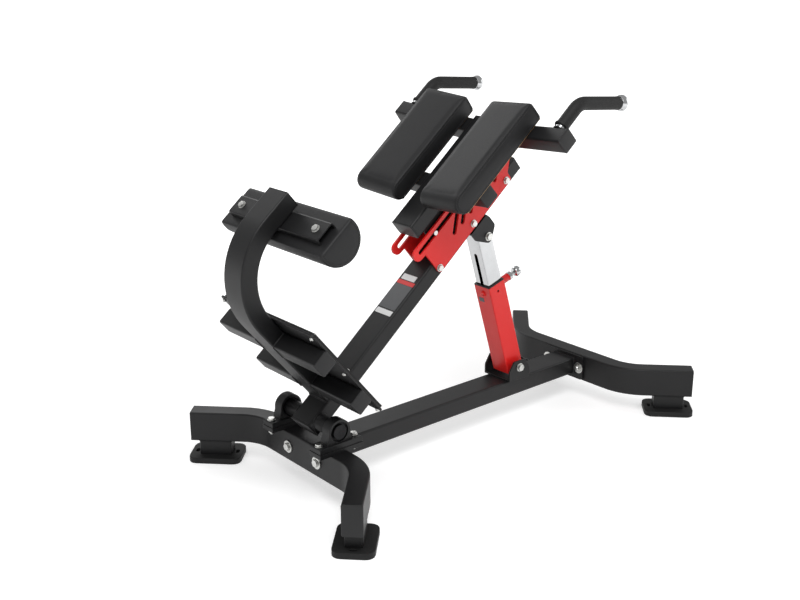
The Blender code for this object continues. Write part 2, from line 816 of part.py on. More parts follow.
def strut_foot(bench):
    """Folded bracket on the base beam whose two ears carry the strut's foot pin."""
    floor_z = BASE_BEAM_TOP + GAP
    half = BRACKET_L / 2
    low = floor_z - FOOT_PIN_Z
    corner = BRACKET_CORNER
    ear = [
        (-half, low, 0),
        (half, low, 0),
        (half, -BRACKET_SLANT_DROP, corner),
        (half - BRACKET_SLANT, BRACKET_TOP, corner),
        (BRACKET_SLANT - half, BRACKET_TOP, corner),
        (-half, -BRACKET_SLANT_DROP, corner),
    ]
    ear_y = (BRACKET_W - BRACKET_T) / 2
    rings = [outline(ear, 3), circle(0, 0, PIN_BOLT_R + GAP)]
    lay = at(FOOT_PIN_X, 0, FOOT_PIN_Z)
    bracket = piece(
        "strut_foot_bracket",
        block(BRACKET_L, BRACKET_W - BRACKET_T, BRACKET_T, at(FOOT_PIN_X, 0, floor_z + BRACKET_T / 2)),
        BLACK_PAINT,
        bench,
    )
    for side in (1, -1):
        join(bracket, sheet(rings, BRACKET_T, lay @ at(0, side * ear_y, 0, UPRIGHT)))
    pin_bolt("strut_foot_bolt", BRACKET_W, lay, bench)


def pin_bolt(name, width, lay, parent):
    """Bolt and nut across a bracket of that width, with its axis along Y and its head at -Y."""
    grip = width + 2 * GAP
    bolt = nutted_bolt(PIN_BOLT_R, grip)
    bolt.transform(lay @ facing(Vector((0, -grip / 2, 0)), Vector((0, -1, 0)), Vector((0, 0, 1))))
    piece(name, bolt, ZINC, parent)


# Main beam


def main_beam(beam):
    """Beam tube with the pivot sleeve welded through it."""
    tube = straight_tube(
        "main_beam",
        TUBE_W,
        TUBE_D,
        BEAM_START + CAP_T + GAP,
        BEAM_END - CAP_T - GAP,
        BLACK_PAINT,
        beam,
        ALONG_X,
    )
    sleeve_length = 2 * (BLOCK_Y - COLLAR_W / 2 - SLEEVE_CLEAR)
    join(tube, cylinder(SHAFT_R + GAP + SLEEVE_WALL, sleeve_length, ALONG_Y))
    cut(tube, cylinder(SHAFT_R + GAP, 2 * sleeve_length, ALONG_Y))
    for u in PLATE_BOLT_U:
        cut(tube, cylinder(PLATE_BOLT_R + GAP, 2 * TUBE_W, at(u, 0, 0, ALONG_Y), BOLT_STEPS))


def pivot_shaft(beam):
    end = SHAFT_LENGTH / 2
    profile = [
        (0, end + SHAFT_CAP_T),
        (SHAFT_CAP_R, end + SHAFT_CAP_T),
        (SHAFT_CAP_R, end),
        (SHAFT_R, end),
        (SHAFT_R, -end),
        (SHAFT_CAP_R, -end),
        (SHAFT_CAP_R, -end - SHAFT_CAP_T),
        (0, -end - SHAFT_CAP_T),
    ]
    piece("pivot_shaft", turned(profile, ALONG_Y), DARK_STEEL, beam)


def roller_arm(beam):
    """Tube that stands on the beam and turns over the ankles, with its step tubes welded on."""
    bm = bmesh.new()
    loop = rounded_loop(bm, TUBE_D, TUBE_W)
    bend_z = BEAM_TOP + ARM_RISE - ARM_BEND_R
    foot_z = BEAM_TOP + GAP
    bmesh.ops.translate(bm, vec=(ARM_U, 0, foot_z), verts=bm.verts)
    loop = run_straight(bm, loop, (0, 0, bend_z - foot_z))
    centre = (ARM_U + ARM_BEND_R, 0, bend_z)
    loop = run_turn(bm, loop, centre, (0, 1, 0), math.pi / 2, ARM_BEND_STEPS)
    run_straight(bm, loop, (ARM_END_U - CAP_T - GAP - centre[0], 0, 0))
    arm = hollow("roller_arm", bm, TUBE_WALL, BLACK_PAINT, beam)
    start = TUBE_W / 2 - TUBE_CORNER - WELD
    end = STEP_REACH - CAP_T - GAP
    step = evaluated(straight_tube("step", TUBE_D, TUBE_D, start, end, BLACK_PAINT, beam, FLAT))
    for rise in (LOW_STEP_RISE, HIGH_STEP_RISE):
        for side in (1, -1):
            place = Vector((ARM_U, 0, BEAM_TOP + rise))
            welded = step.copy()
            welded.transform(facing(place, Vector((0, side, 0)), Vector((1, 0, 0))))
            join(arm, welded)


def roller_pan(floor):
    """Channel with its flanges down on the roller's back and its web under the arm's end."""
    top = BEAM_TOP + PAN_RISE
    edge = PAN_W / 2
    inner = edge - PAN_T
    right = [(inner, top - PAN_T, 0), (inner, floor, 0), (edge, floor, 0), (edge, top, PAN_CORNER)]
    left = [(-x, z, radius) for x, z, radius in reversed(right)]
    return sheet([outline(right + left, 2)], PAN_LENGTH, at(PAN_U, 0, 0, UPRIGHT))


def roller(beam):
    """Flat-backed ankle roller under a shallow folded pan."""
    roller_z = BEAM_TOP + ROLLER_RISE
    back_z = BEAM_TOP + ROLLER_BACK_RISE
    half = ROLLER_LENGTH / 2
    rim = arc((half - ROLLER_EDGE, ROLLER_R - ROLLER_EDGE), ROLLER_EDGE, 0, math.pi / 2, 2)
    front = [(0, half)] + [(radius, height) for height, radius in rim]
    profile = front + [(radius, -height) for radius, height in reversed(front)]
    mesh = turned(profile, at(ROLLER_U, 0, roller_z, ALONG_Y), FINE_STEPS)
    body = piece("foot_roller", mesh, VINYL, beam)
    cut(body, block(3 * ROLLER_R, 2 * ROLLER_LENGTH, ROLLER_R, at(ROLLER_U, 0, back_z + ROLLER_R / 2)))
    pan_floor = back_z + GAP
    pan = piece("roller_bracket", roller_pan(pan_floor), BLACK_PAINT, beam)
    seat_z = BEAM_TOP + PAN_RISE + GAP
    reach = seat_z - back_z + ROLLER_BOLT_DEPTH
    bolt = hex_bolt(ROLLER_BOLT_R, reach)
    places = {}
    for name, side in both_sides():
        place = (PAN_U, side * ROLLER_BOLT_Y, seat_z)
        places[name] = at(*place)
        depth = reach + GAP
        hole = cylinder(ROLLER_BOLT_R + GAP, 2 * depth, at(*place), BOLT_STEPS)
        cut(body, hole)
        cut(pan, hole.copy())
    copies("roller_bolt", bolt, places, ZINC, beam)


def screw_places():
    y = FOOT_PLATE_W / 2 - SCREW_INSET
    return [(side * y, BEAM_TOP + rise) for rise in SCREW_RISES for side in (1, -1)]


def foot_plate(beam):
    """Steel sheet behind the shoes, notched to straddle the beam, with a rubber mat on it."""
    half = FOOT_PLATE_W / 2
    low = BEAM_TOP - FOOT_PLATE_DROP
    top = BEAM_TOP + FOOT_PLATE_TOP
    notch_y = TUBE_W / 2 + FOOT_PLATE_NOTCH
    notch_z = BEAM_TOP + FOOT_PLATE_NOTCH
    corner = FOOT_PLATE_CORNER
    right = [(half, top, corner), (half, low, corner), (notch_y, low, 0), (notch_y, notch_z, 0)]
    left = [(-y, z, radius) for y, z, radius in reversed(right)]
    holes = [circle(y, z, SCREW_R + GAP, 8) for y, z in screw_places()]
    rings = [outline(right + left, 4)] + holes
    piece("foot_plate", sheet(rings, FOOT_PLATE_T, at(FOOT_PLATE_U, 0, 0, ALONG_X)), BLACK_PAINT, beam)
    inset = FOOT_MAT_INSET
    mat_y = half - inset
    mat_right = [
        (mat_y, top - inset, corner),
        (mat_y, low + inset, corner),
        (notch_y + inset, low + inset, 0),
        (notch_y + inset, notch_z + inset, 0),
    ]
    mat_left = [(-y, z, radius) for y, z, radius in reversed(mat_right)]
    mat_rings = [outline(mat_right + mat_left, 4)] + holes
    piece("foot_mat", sheet(mat_rings, FOOT_MAT_T, at(MAT_U, 0, 0, ALONG_X)), RUBBER, beam)


def notch_seat(index):
    """Centre of a notch's round bottom, and of the place where it opens into the channel."""
    seat = Vector((NOTCH_FIRST_U + index * NOTCH_PITCH, BEAM_TOP + NOTCH_RISE))
    return seat, seat + NOTCH_DIRECTION * NOTCH_LENGTH


def adjuster_outline():
    """Side view of an adjuster plate: a lobe at its low end and a slanted upper end."""
    step_z = BEAM_TOP + PLATE_STEP_RISE
    top_z = BEAM_TOP + PLATE_TOP_RISE
    low_z = BEAM_TOP + PLATE_LOW_RISE
    tip_z = BEAM_TOP + PLATE_TIP_RISE
    lobe_r = top_z - CHANNEL_Z
    slant = (PLATE_TIP_U - PLATE_HIGH_U) * math.tan(NOTCH_SLOPE)
    lobe = arc((LOBE_U, CHANNEL_Z), lobe_r, math.radians(90), math.pi, 10)
    rest = outline(
        [
            (PLATE_LOW_U, step_z, PLATE_SMALL_R),
            (PLATE_LOW_U, low_z, PLATE_CORNER_R),
            (PLATE_HIGH_U, low_z, PLATE_CORNER_R),
            (PLATE_HIGH_U, tip_z - slant, PLATE_CORNER_R),
            (PLATE_TIP_U, tip_z, PLATE_CORNER_R),
            (PLATE_TIP_U, top_z, PLATE_SMALL_R),
        ],
        3,
    )
    return lobe + rest


def adjuster_plates(beam):
    rings = [adjuster_outline()]
    rings += [circle(u, 0, PLATE_BOLT_R + GAP, BOLT_STEPS) for u in PLATE_BOLT_U]
    channel = capsule((CHANNEL_LOW_U, CHANNEL_Z), (CHANNEL_HIGH_U, CHANNEL_Z), SLIDE_SLOT_W)
    slots = [channel] + [capsule(*notch_seat(index), SLIDE_SLOT_W) for index in range(NOTCH_COUNT)]
    for name, side in both_sides():
        y = side * (PLATE_IN_Y + PLATE_T / 2)
        lay = at(0, y, 0, UPRIGHT)
        plate = piece("adjuster_plate_" + name, sheet(rings, PLATE_T, lay), RED_PAINT, beam)
        cut(plate, *[sheet([slot], 3 * PLATE_T, lay) for slot in slots])
    grip = 2 * PLATE_OUT_Y + 2 * GAP
    places = {}
    for index, u in enumerate(PLATE_BOLT_U):
        head = facing(Vector((u, -grip / 2, 0)), Vector((0, -1, 0)), Vector((0, 0, 1)))
        places[str(index + 1)] = head
    copies("adjuster_bolt", nutted_bolt(PLATE_BOLT_R, grip), places, ZINC, beam)


def strut_head(beam):
    """Folded bracket under the beam whose two ears carry the strut's head pin."""
    roof_z = -BEAM_TOP - GAP
    ear_y = (HEAD_BRACKET_W - BRACKET_T) / 2
    corners = [(HEAD_PIN_U + u, rise, radius) for u, rise, radius in HEAD_EAR]
    ear = [(HEAD_BRACKET_LOW_U, roof_z, 0)] + corners + [(HEAD_BRACKET_HIGH_U, roof_z, 0)]
    rings = [outline(ear), circle(HEAD_PIN_U, -HEAD_PIN_DROP, PIN_BOLT_R + GAP)]
    length = HEAD_BRACKET_HIGH_U - HEAD_BRACKET_LOW_U
    middle = (HEAD_BRACKET_HIGH_U + HEAD_BRACKET_LOW_U) / 2
    bracket = piece(
        "strut_head_bracket",
        block(length, HEAD_BRACKET_W - BRACKET_T, BRACKET_T, at(middle, 0, roof_z - BRACKET_T / 2)),
        BLACK_PAINT,
        beam,
    )
    for side in (1, -1):
        join(bracket, sheet(rings, BRACKET_T, at(0, side * ear_y, 0, UPRIGHT)))
    pin_bolt("strut_head_bolt", HEAD_BRACKET_W, at(HEAD_PIN_U, 0, -HEAD_PIN_DROP), beam)


# Pad carriage


def carriage(slide, origin):
    """Carriage tube with welded lugs, and the pin that guides it in the adjuster plates' channels."""
    home = at(-origin.x, 0, -origin.z)
    tube = straight_tube(
        "carriage_tube",
        TUBE_W,
        TUBE_D,
        CARRIAGE_LOW_U + CAP_T + GAP,
        CARRIAGE_HIGH_U - CAP_T - GAP,
        BLACK_PAINT,
        slide,
        home @ at(0, 0, CARRIAGE_Z, ALONG_X),
    )
    seat, raised = notch_seat(LOCK_NOTCH)
    lug_top = CARRIAGE_Z - TUBE_D / 2 + WELD
    lug_low = BEAM_TOP + LUG_CLEAR
    corners = [
        (LUG_LOW_U, lug_top, 0),
        (LUG_LOW_U, CHANNEL_Z - LUG_BAND, LUG_CORNER_R),
        (seat.x - 2 * LUG_TOE, lug_low + LUG_BAND, LUG_CORNER_R),
        (seat.x - LUG_TOE, lug_low, LUG_CORNER_R / 2),
        (seat.x + LUG_TOE, lug_low, LUG_CORNER_R / 2),
        (LUG_HIGH_U, CHANNEL_Z - LUG_BAND / 2, LUG_CORNER_R),
        (LUG_HIGH_U, lug_top, 0),
    ]
    rings = [
        outline(corners, 3),
        circle(SLIDE_PIN_U, CHANNEL_Z, SLIDE_PIN_R + GAP),
        capsule(seat, raised, SLIDE_SLOT_W),
    ]
    for side in (1, -1):
        join(tube, sheet(rings, LUG_T, home @ at(0, side * (LUG_OUT_Y - LUG_T / 2), 0, UPRIGHT)))
    pin = cylinder(SLIDE_PIN_R, 2 * (PLATE_OUT_Y + SLIDE_PIN_PROUD), ALONG_Y)
    piece("slide_pin", pin, ZINC, slide)


def rail_lay(origin, side):
    """Plane of one side's crossbars and pad: X along the beam, Y along the bar, raised outwards."""
    return at(-origin.x, 0, RAIL_Z - origin.z) @ Matrix.Rotation(side * RAIL_CANT, 4, "X")


def pad_bolt_ys():
    middle = PAD_IN_Y + PAD_W / 2
    return (middle - PAD_BOLT_PITCH / 2, middle + PAD_BOLT_PITCH / 2)


def crossbars(slide, origin):
    """Canted tubes that butt on the carriage's sides and carry the pads."""
    trim_place = at(HIGH_RAIL_U - origin.x, 0, RAIL_Z - origin.z)
    trim = block(2 * HIGH_RAIL_U, TUBE_W + 2 * GAP, 4 * TUBE_W, trim_place)
    rails = (
        ("low_crossbar", LOW_RAIL_U, LOW_RAIL_REACH),
        ("high_crossbar", HIGH_RAIL_U, HIGH_RAIL_REACH),
    )
    for name, u, reach in rails:
        end = reach / math.cos(RAIL_CANT) - CAP_T - GAP
        for side_name, side in both_sides():
            lay = rail_lay(origin, side) @ facing(Vector((u, 0, 0)), Vector((0, side, 0)), Vector((1, 0, 0)))
            full_name = name + "_" + side_name
            bar = straight_tube(full_name, TUBE_D, TUBE_D, TUBE_W / 4, end, BLACK_PAINT, slide, lay)
            cut(bar, trim.copy())
            for y in pad_bolt_ys():
                place = rail_lay(origin, side) @ at(u, side * y, 0)
                cut(bar, cylinder(PAD_BOLT_R + GAP, 2 * TUBE_D, place, BOLT_STEPS))


def pad_profile(low, high, thickness):
    """Side view of a pad: a full bull-nose at its low end and small radii at its high end."""
    nose = thickness / 2
    corners = [(high, 0, PAD_CORNER), (high, thickness, PAD_CORNER)]
    back = outline(corners + [(low, thickness, 0), (low, 0, 0)], 4)[:-2]
    return back + arc((low + nose, nose), nose, math.radians(90), math.pi, 8)


def pads(slide, origin):
    low = PAD_U - PAD_LENGTH / 2
    high = PAD_U + PAD_LENGTH / 2
    seat = TUBE_D / 2 + GAP
    middle_y = PAD_IN_Y + PAD_W / 2
    board_low = low + BOARD_NOSE_INSET
    board_high = high - BOARD_INSET
    board_w = PAD_W - 2 * BOARD_INSET
    board_length = board_high - board_low
    board_u = (board_low + board_high) / 2
    for name, side in both_sides():
        lay = rail_lay(origin, side)
        board = piece(
            "pad_board_" + name,
            block(board_length, board_w, BOARD_T, lay @ at(board_u, side * middle_y, seat + BOARD_T / 2)),
            PLYWOOD,
            slide,
        )
        cushion = sheet(
            [pad_profile(low, high, PAD_T)], PAD_W, lay @ at(0, side * middle_y, seat, UPRIGHT)
        )
        pad = piece("thigh_pad_" + name, cushion, VINYL, slide)
        pocket_h = BOARD_T + GAP
        pocket = block(
            board_length + 2 * GAP,
            board_w + 2 * GAP,
            2 * pocket_h,
            lay @ at(board_u, side * middle_y, seat),
        )
        cut(pad, pocket)
        for u in (LOW_RAIL_U, HIGH_RAIL_U):
            for y in pad_bolt_ys():
                place = lay @ at(u, side * y, seat)
                cut(board, cylinder(PAD_BOLT_R + GAP, BOARD_T, place, BOLT_STEPS))


def handle_end():
    """Direction of a handle's outer end, a little below level."""
    return Vector((math.cos(HANDLE_BEND), 0, -math.sin(HANDLE_BEND)))


def handle_run(bm, loop, start_u, reach):
    """Runs a loop at start_u along the handle: up the beam's slope, then round the knee to its end."""
    tangent = HANDLE_BEND_R * math.tan(HANDLE_BEND / 2)
    knee = HANDLE_KNEE_U - tangent
    loop = run_straight(bm, loop, (knee - start_u, 0, 0))
    loop = run_turn(bm, loop, (knee, 0, -HANDLE_BEND_R), (0, 1, 0), HANDLE_BEND, HANDLE_BEND_STEPS)
    run_straight(bm, loop, handle_end() * (reach - tangent))


def handle_tube(name, radius, wall, start_u, reach, look, slide, lay):
    bm = bmesh.new()
    loop = round_loop(bm, radius)
    bmesh.ops.transform(bm, matrix=at(start_u, 0, 0, ALONG_X), verts=bm.verts)
    handle_run(bm, loop, start_u, reach)
    return hollow(name, bm, wall, look, slide, lay)


def handles(slide, origin):
    start_u = HIGH_RAIL_U + TUBE_D / 2 + GAP
    outward = handle_end()
    cap_profile = [
        (0, GRIP_CAP_L),
        (GRIP_CAP_R - GRIP_CAP_EDGE, GRIP_CAP_L),
        (GRIP_CAP_R, GRIP_CAP_L - GRIP_CAP_EDGE),
        (GRIP_CAP_R, 0),
        (HANDLE_R - HANDLE_WALL - GAP, 0),
        (HANDLE_R - HANDLE_WALL - GAP, -GRIP_PLUG_L),
        (0, -GRIP_PLUG_L),
    ]
    cap = turned(cap_profile)
    caps = {}
    for name, side in both_sides():
        place = Vector((-origin.x, side * HANDLE_Y, BEAM_TOP + HANDLE_RISE - origin.z))
        lay = Matrix.Translation(place)
        handle_tube("handle_" + name, HANDLE_R, HANDLE_WALL, start_u, HANDLE_REACH, CHROME, slide, lay)
        grip_wall = GRIP_R - HANDLE_R - GAP
        handle_tube("grip_" + name, GRIP_R, grip_wall, GRIP_START_U, HANDLE_REACH, RUBBER, slide, lay)
        end = Vector((HANDLE_KNEE_U, 0, 0)) + outward * (HANDLE_REACH + GAP)
        caps[name] = facing(place + end, outward, Vector((0, 1, 0)))
    copies("grip_cap", cap, caps, CHROME, slide)


def lock_rod(slide, origin):
    """Rod that drops along its notches to lock the carriage, drawn raised into the channel."""
    seat, raised = notch_seat(LOCK_NOTCH)
    face = LOCK_ROD_REACH
    end = LOCK_ROD_REACH + LOCK_KNOB_L
    half = [
        (0, end),
        (LOCK_KNOB_R - LOCK_KNOB_EDGE, end),
        (LOCK_KNOB_R, end - LOCK_KNOB_EDGE),
        (LOCK_KNOB_R, face + LOCK_KNOB_EDGE),
        (LOCK_KNOB_R - LOCK_KNOB_EDGE, face),
        (SLIDE_PIN_R, face),
    ]
    profile = half + [(radius, -height) for radius, height in reversed(half)]
    place = at(raised.x - origin.x, 0, raised.y - origin.z, ALONG_Y)
    piece("lock_rod", turned(profile, place), ZINC, slide)


# Strut


def strut_outer(strut):
    tube = straight_tube(
        "strut_outer_tube",
        STRUT_W,
        STRUT_W,
        -STRUT_TAIL,
        STRUT_RIM,
        RED_PAINT,
        strut,
        FLAT,
        STRUT_WALL,
        STRUT_CORNER,
    )
    face = STRUT_W / 2
    foot_length = BRACKET_W - 2 * BRACKET_T - 2 * GAP
    join(tube, cylinder(BUSH_R, foot_length, ALONG_Y))
    cut(tube, cylinder(PIN_BOLT_R + GAP, 2 * BRACKET_W, ALONG_Y))
    boss_x = face - STRUT_WALL / 2 + BOSS_LENGTH / 2
    join(tube, cylinder(BOSS_R, BOSS_LENGTH, at(boss_x, 0, LATCH_HEIGHT, ALONG_X)))
    cut(tube, cylinder(LATCH_R + GAP, CUT_LENGTH, at(CUT_LENGTH / 2, 0, LATCH_HEIGHT, ALONG_X)))
    cut(tube, cylinder(STOP_SCREW_R + GAP, face, at(-face, 0, LATCH_HEIGHT, ALONG_X), BOLT_STEPS))
    cut(tube, cylinder(SIDE_HOLE_R, 2 * STRUT_W, at(0, 0, LATCH_HEIGHT, ALONG_Y), BOLT_STEPS))
    guide_sleeve(strut)
    barrel_start = boss_x + BOSS_LENGTH / 2 + GAP
    barrel = turned(ring_profile(BARREL_R, LATCH_R + GAP, BARREL_LENGTH))
    barrel.transform(at(barrel_start + BARREL_LENGTH / 2, 0, LATCH_HEIGHT, ALONG_X))
    piece("latch_barrel", barrel, CHROME, strut)
    return barrel_start + BARREL_LENGTH


def guide_sleeve(strut):
    """Plastic liner in the strut's mouth, with a rim over the end of the outer tube."""
    outer = STRUT_W - 2 * (STRUT_WALL + GAP)
    inner = INNER_W + 2 * SLIP
    rim = scratch(rounded_block(STRUT_W, GUIDE_T, at(0, 0, STRUT_RIM + GAP + GUIDE_T / 2)))
    depth = GUIDE_DEPTH + GUIDE_T
    combine(rim, rounded_block(outer, depth, at(0, 0, STRUT_RIM + GAP + GUIDE_T / 2 - depth / 2)), "UNION")
    combine(rim, rounded_block(inner, 3 * depth, at(0, 0, STRUT_RIM)), "DIFFERENCE")
    holes = cylinder(LATCH_R + GAP, 2 * STRUT_W, at(0, 0, LATCH_HEIGHT, ALONG_X))
    combine(rim, holes, "DIFFERENCE")
    piece("strut_guide_sleeve", evaluated(rim), PLASTIC, strut)


def rounded_block(width, height, lay):
    """Square block with the tube's corner radius, centred on its lay."""
    half = width / 2
    corners = [(half, half), (-half, half), (-half, -half), (half, -half)]
    radius = max(STRUT_CORNER - (STRUT_W - width) / 2, 0.001)
    return sheet([outline([(x, y, radius) for x, y in corners], 2)], height, lay)


def strut_inner(ram):
    top = STRUT_SPAN + INNER_HEAD
    tube = straight_tube(
        "strut_inner_tube",
        INNER_W,
        INNER_W,
        INNER_START,
        top,
        CHROME,
        ram,
        FLAT,
        INNER_WALL,
        STRUT_CORNER,
    )
    bush_length = HEAD_BRACKET_W - 2 * BRACKET_T - 2 * GAP
    bush = cylinder(BUSH_R, bush_length, at(0, 0, STRUT_SPAN, ALONG_Y))
    join(tube, bush)
    bore = PIN_BOLT_R + HEAD_PIN_SLACK
    cut(tube, cylinder(bore, 2 * BRACKET_W, at(0, 0, STRUT_SPAN, ALONG_Y)))
    face = INNER_W / 2
    reach = SLOT_W / 2
    slot = sheet(
        [capsule((0, SLOT_START + reach), (0, SLOT_END - reach), SLOT_W, 4)],
        4 * INNER_WALL,
        at(-face, 0, 0, ALONG_X),
    )
    cut(tube, slot)


def pull_pin(latch, barrel_end):
    """Spring pin, drawn pulled just clear of the inner tube, with its knob outside the barrel."""
    tip = INNER_W / 2 + LATCH_CLEAR
    knob_start = barrel_end + KNOB_STANDOFF
    profile = [
        (0, knob_start + KNOB_LENGTH),
        (KNOB_R - KNOB_EDGE, knob_start + KNOB_LENGTH),
        (KNOB_R, knob_start + KNOB_LENGTH - KNOB_EDGE),
        (KNOB_R, knob_start + 2 * KNOB_EDGE),
        (KNOB_R - 2 * KNOB_EDGE, knob_start),
        (LATCH_R, knob_start),
        (LATCH_R, tip),
        (0, tip),
    ]
    piece("pull_pin", turned(profile, ALONG_X), CHROME, latch)


def centre_on_floor(bench):
    """Moves the bench so that its box is centred over the origin."""
    graph = bpy.context.evaluated_depsgraph_get()
    xs = []
    for obj in PARTS.objects:
        if obj.type == "MESH":
            solid = obj.evaluated_get(graph)
            xs += [(solid.matrix_world @ vertex.co).x for vertex in solid.data.vertices]
    shift = -(max(xs) + min(xs)) / 2
    bench.location.x += shift
    print("moved along X by", round(shift, 5))


def build():
    bench = empty("bench")
    legs(bench)
    soles(bench)
    base_beam(bench)
    bearings(bench)
    strut_foot(bench)

    beam = empty("beam_pivot", bench, PIVOT, turn_y=-BEAM_ANGLE)
    main_beam(beam)
    pivot_shaft(beam)
    roller_arm(beam)
    roller(beam)
    foot_plate(beam)
    adjuster_plates(beam)
    strut_head(beam)

    origin = Vector((SLIDE_PIN_U, 0, CHANNEL_Z))
    slide = empty("carriage_slide", beam, origin)
    carriage(slide, origin)
    crossbars(slide, origin)
    pads(slide, origin)
    handles(slide, origin)
    lock_rod(slide, origin)

    strut = empty("strut_pivot", bench, FOOT_PIN, turn_y=-STRUT_LEAN)
    barrel_end = strut_outer(strut)
    ram = empty("strut_ram", strut)
    strut_inner(ram)
    latch = empty("latch", strut, (0, 0, LATCH_HEIGHT))
    pull_pin(latch, barrel_end)
    centre_on_floor(bench)


build()
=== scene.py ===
# %% [markdown]
# # A hyperextension bench, piece by piece
# This lesson dresses a gym bench for lower back exercises. Its steel frame comes from a CAD model that
# already has every solid in its place, so the work here is what CAD leaves out: paint, chrome, rubber,
# stuffed vinyl, and the small trim that makes a thing look bought rather than drawn.

# %% Load the frame
import json
import math

import bmesh
import bpy
from mathutils import Matrix, Vector
from mathutils.bvhtree import BVHTree


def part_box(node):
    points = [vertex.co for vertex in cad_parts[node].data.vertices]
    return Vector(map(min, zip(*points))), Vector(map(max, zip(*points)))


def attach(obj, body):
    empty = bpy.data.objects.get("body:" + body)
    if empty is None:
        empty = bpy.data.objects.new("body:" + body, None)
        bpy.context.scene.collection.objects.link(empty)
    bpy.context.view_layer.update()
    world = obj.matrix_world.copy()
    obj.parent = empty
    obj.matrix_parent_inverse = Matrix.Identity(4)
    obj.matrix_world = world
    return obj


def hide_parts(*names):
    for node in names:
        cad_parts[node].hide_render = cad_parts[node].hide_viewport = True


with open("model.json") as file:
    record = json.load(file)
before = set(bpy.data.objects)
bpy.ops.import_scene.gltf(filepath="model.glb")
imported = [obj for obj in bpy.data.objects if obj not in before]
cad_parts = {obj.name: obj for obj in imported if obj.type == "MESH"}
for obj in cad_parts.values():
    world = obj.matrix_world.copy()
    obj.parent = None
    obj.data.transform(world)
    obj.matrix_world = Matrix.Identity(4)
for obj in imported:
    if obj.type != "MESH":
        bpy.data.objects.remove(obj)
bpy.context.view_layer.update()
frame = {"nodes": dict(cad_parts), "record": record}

# %% [markdown]
# ## The camera
# A product picture like this is taken with a normal lens from a little above, against white. The camera
# keeps its viewing angle and distance, so the bench narrows towards the back as it should.

# %% Camera
PHOTO_W = 800
FOCAL_PX = 1115.75
SENSOR_MM = 36.0
CAMERA_PLACE = Vector((-1.93162, -2.0643, 1.3242))
AZIMUTH = math.radians(-40.403)
ELEVATION = math.radians(18.286)


def in_scene(name, data):
    """A new object in the scene, of a mesh, a curve, a camera or a lamp."""
    made = bpy.data.objects.new(name, data)
    bpy.context.scene.collection.objects.link(made)
    return made


def tune(thing, **settings):
    """Sets several values of a thing, and gives it back."""
    for name, value in settings.items():
        setattr(thing, name, value)
    return thing


def aim(thing, place, ahead):
    """Puts a camera or a lamp at a place and lets it look ahead."""
    tune(thing, location=place, rotation_mode="QUATERNION")
    thing.rotation_quaternion = ahead.to_track_quat("-Z", "Y")


focal_mm = FOCAL_PX * SENSOR_MM / PHOTO_W
lens = tune(bpy.data.cameras.new("camera"), sensor_width=SENSOR_MM, lens=focal_mm)
camera = in_scene("camera", lens)
flat = math.cos(ELEVATION)
aim(camera, CAMERA_PLACE, -Vector((math.sin(AZIMUTH) * flat, -math.cos(AZIMUTH) * flat, math.sin(ELEVATION))))
bpy.context.scene.camera = camera
bpy.context.scene.view_settings.view_transform = "Standard"
print("lens:", round(focal_mm, 2), "mm")

# %% [markdown]
# ## A way to write materials
# Each finish is a small tree of nodes. One function turns the hex colour that a paint chart gives into the
# linear light that a shader works in, and one adds a node with its settings and its links, so a material
# reads as a short list.


# %% Colour and nodes
def hex_colour(code):
    """Linear red, green, blue and alpha of an sRGB hex colour."""
    parts = [int(code[start : start + 2], 16) / 255 for start in (1, 3, 5)]
    return [part / 12.92 if part <= 0.04045 else ((part + 0.055) / 1.055) ** 2.4 for part in parts] + [1]


def add_node(tree, kind, inputs=None, **settings):
    """Adds a node. An input takes a value, or it's linked from a socket or from a node's first output."""
    made = tune(tree.nodes.new("ShaderNode" + kind), **settings)
    for name, value in (inputs or {}).items():
        if isinstance(value, bpy.types.Node):
            value = value.outputs[0]
        if isinstance(value, bpy.types.NodeSocket):
            tree.links.new(value, made.inputs[name])
        else:
            made.inputs[name].default_value = value
    return made


def new_material(name):
    """An empty material, its tree, and its Object coordinates."""
    made = bpy.data.materials.new(name)
    made.use_nodes = True
    made.node_tree.nodes.clear()
    place = add_node(made.node_tree, "TexCoord").outputs["Object"]
    return made, made.node_tree, place


def finish_material(made, colour, rough, shine=0.5, **more):
    """Ends a material with its shader; more holds the inputs that only some finishes set."""
    look = {"Base Color": colour, "Roughness": rough, "Specular IOR Level": shine, **more}
    shader = add_node(made.node_tree, "BsdfPrincipled", look)
    add_node(made.node_tree, "OutputMaterial", {"Surface": shader})
    return made


def noise(tree, place, size_mm, detail, **more):
    """Noise whose clouds are that many millimetres across."""
    return add_node(tree, "TexNoise", {"Vector": place, "Scale": 1000 / size_mm, "Detail": detail, **more})


def blend_of(tree, amount, first, second):
    """Colour that drifts from one hex colour to another with an amount."""
    colours = {"Fac": amount, "Color1": hex_colour(first), "Color2": hex_colour(second)}
    return add_node(tree, "MixRGB", colours)


def spread_of(tree, amount, low, high, start=0.0, end=1.0):
    """Value that runs from low to high while an amount runs from start to end."""
    ends = {"From Min": start, "From Max": end, "To Min": low, "To Max": high}
    return add_node(tree, "MapRange", {"Value": amount, **ends})


# %% [markdown]
# ## Powder coat
# The frame is sprayed with dry powder and baked to a satin skin with a very fine orange peel, about a
# millimetre and a half across, drawn as bump. A broad cloud moves the roughness. Sparse rub marks, where
# plates and shoes have passed, are a little paler and duller. The red parts have a glossier powder.


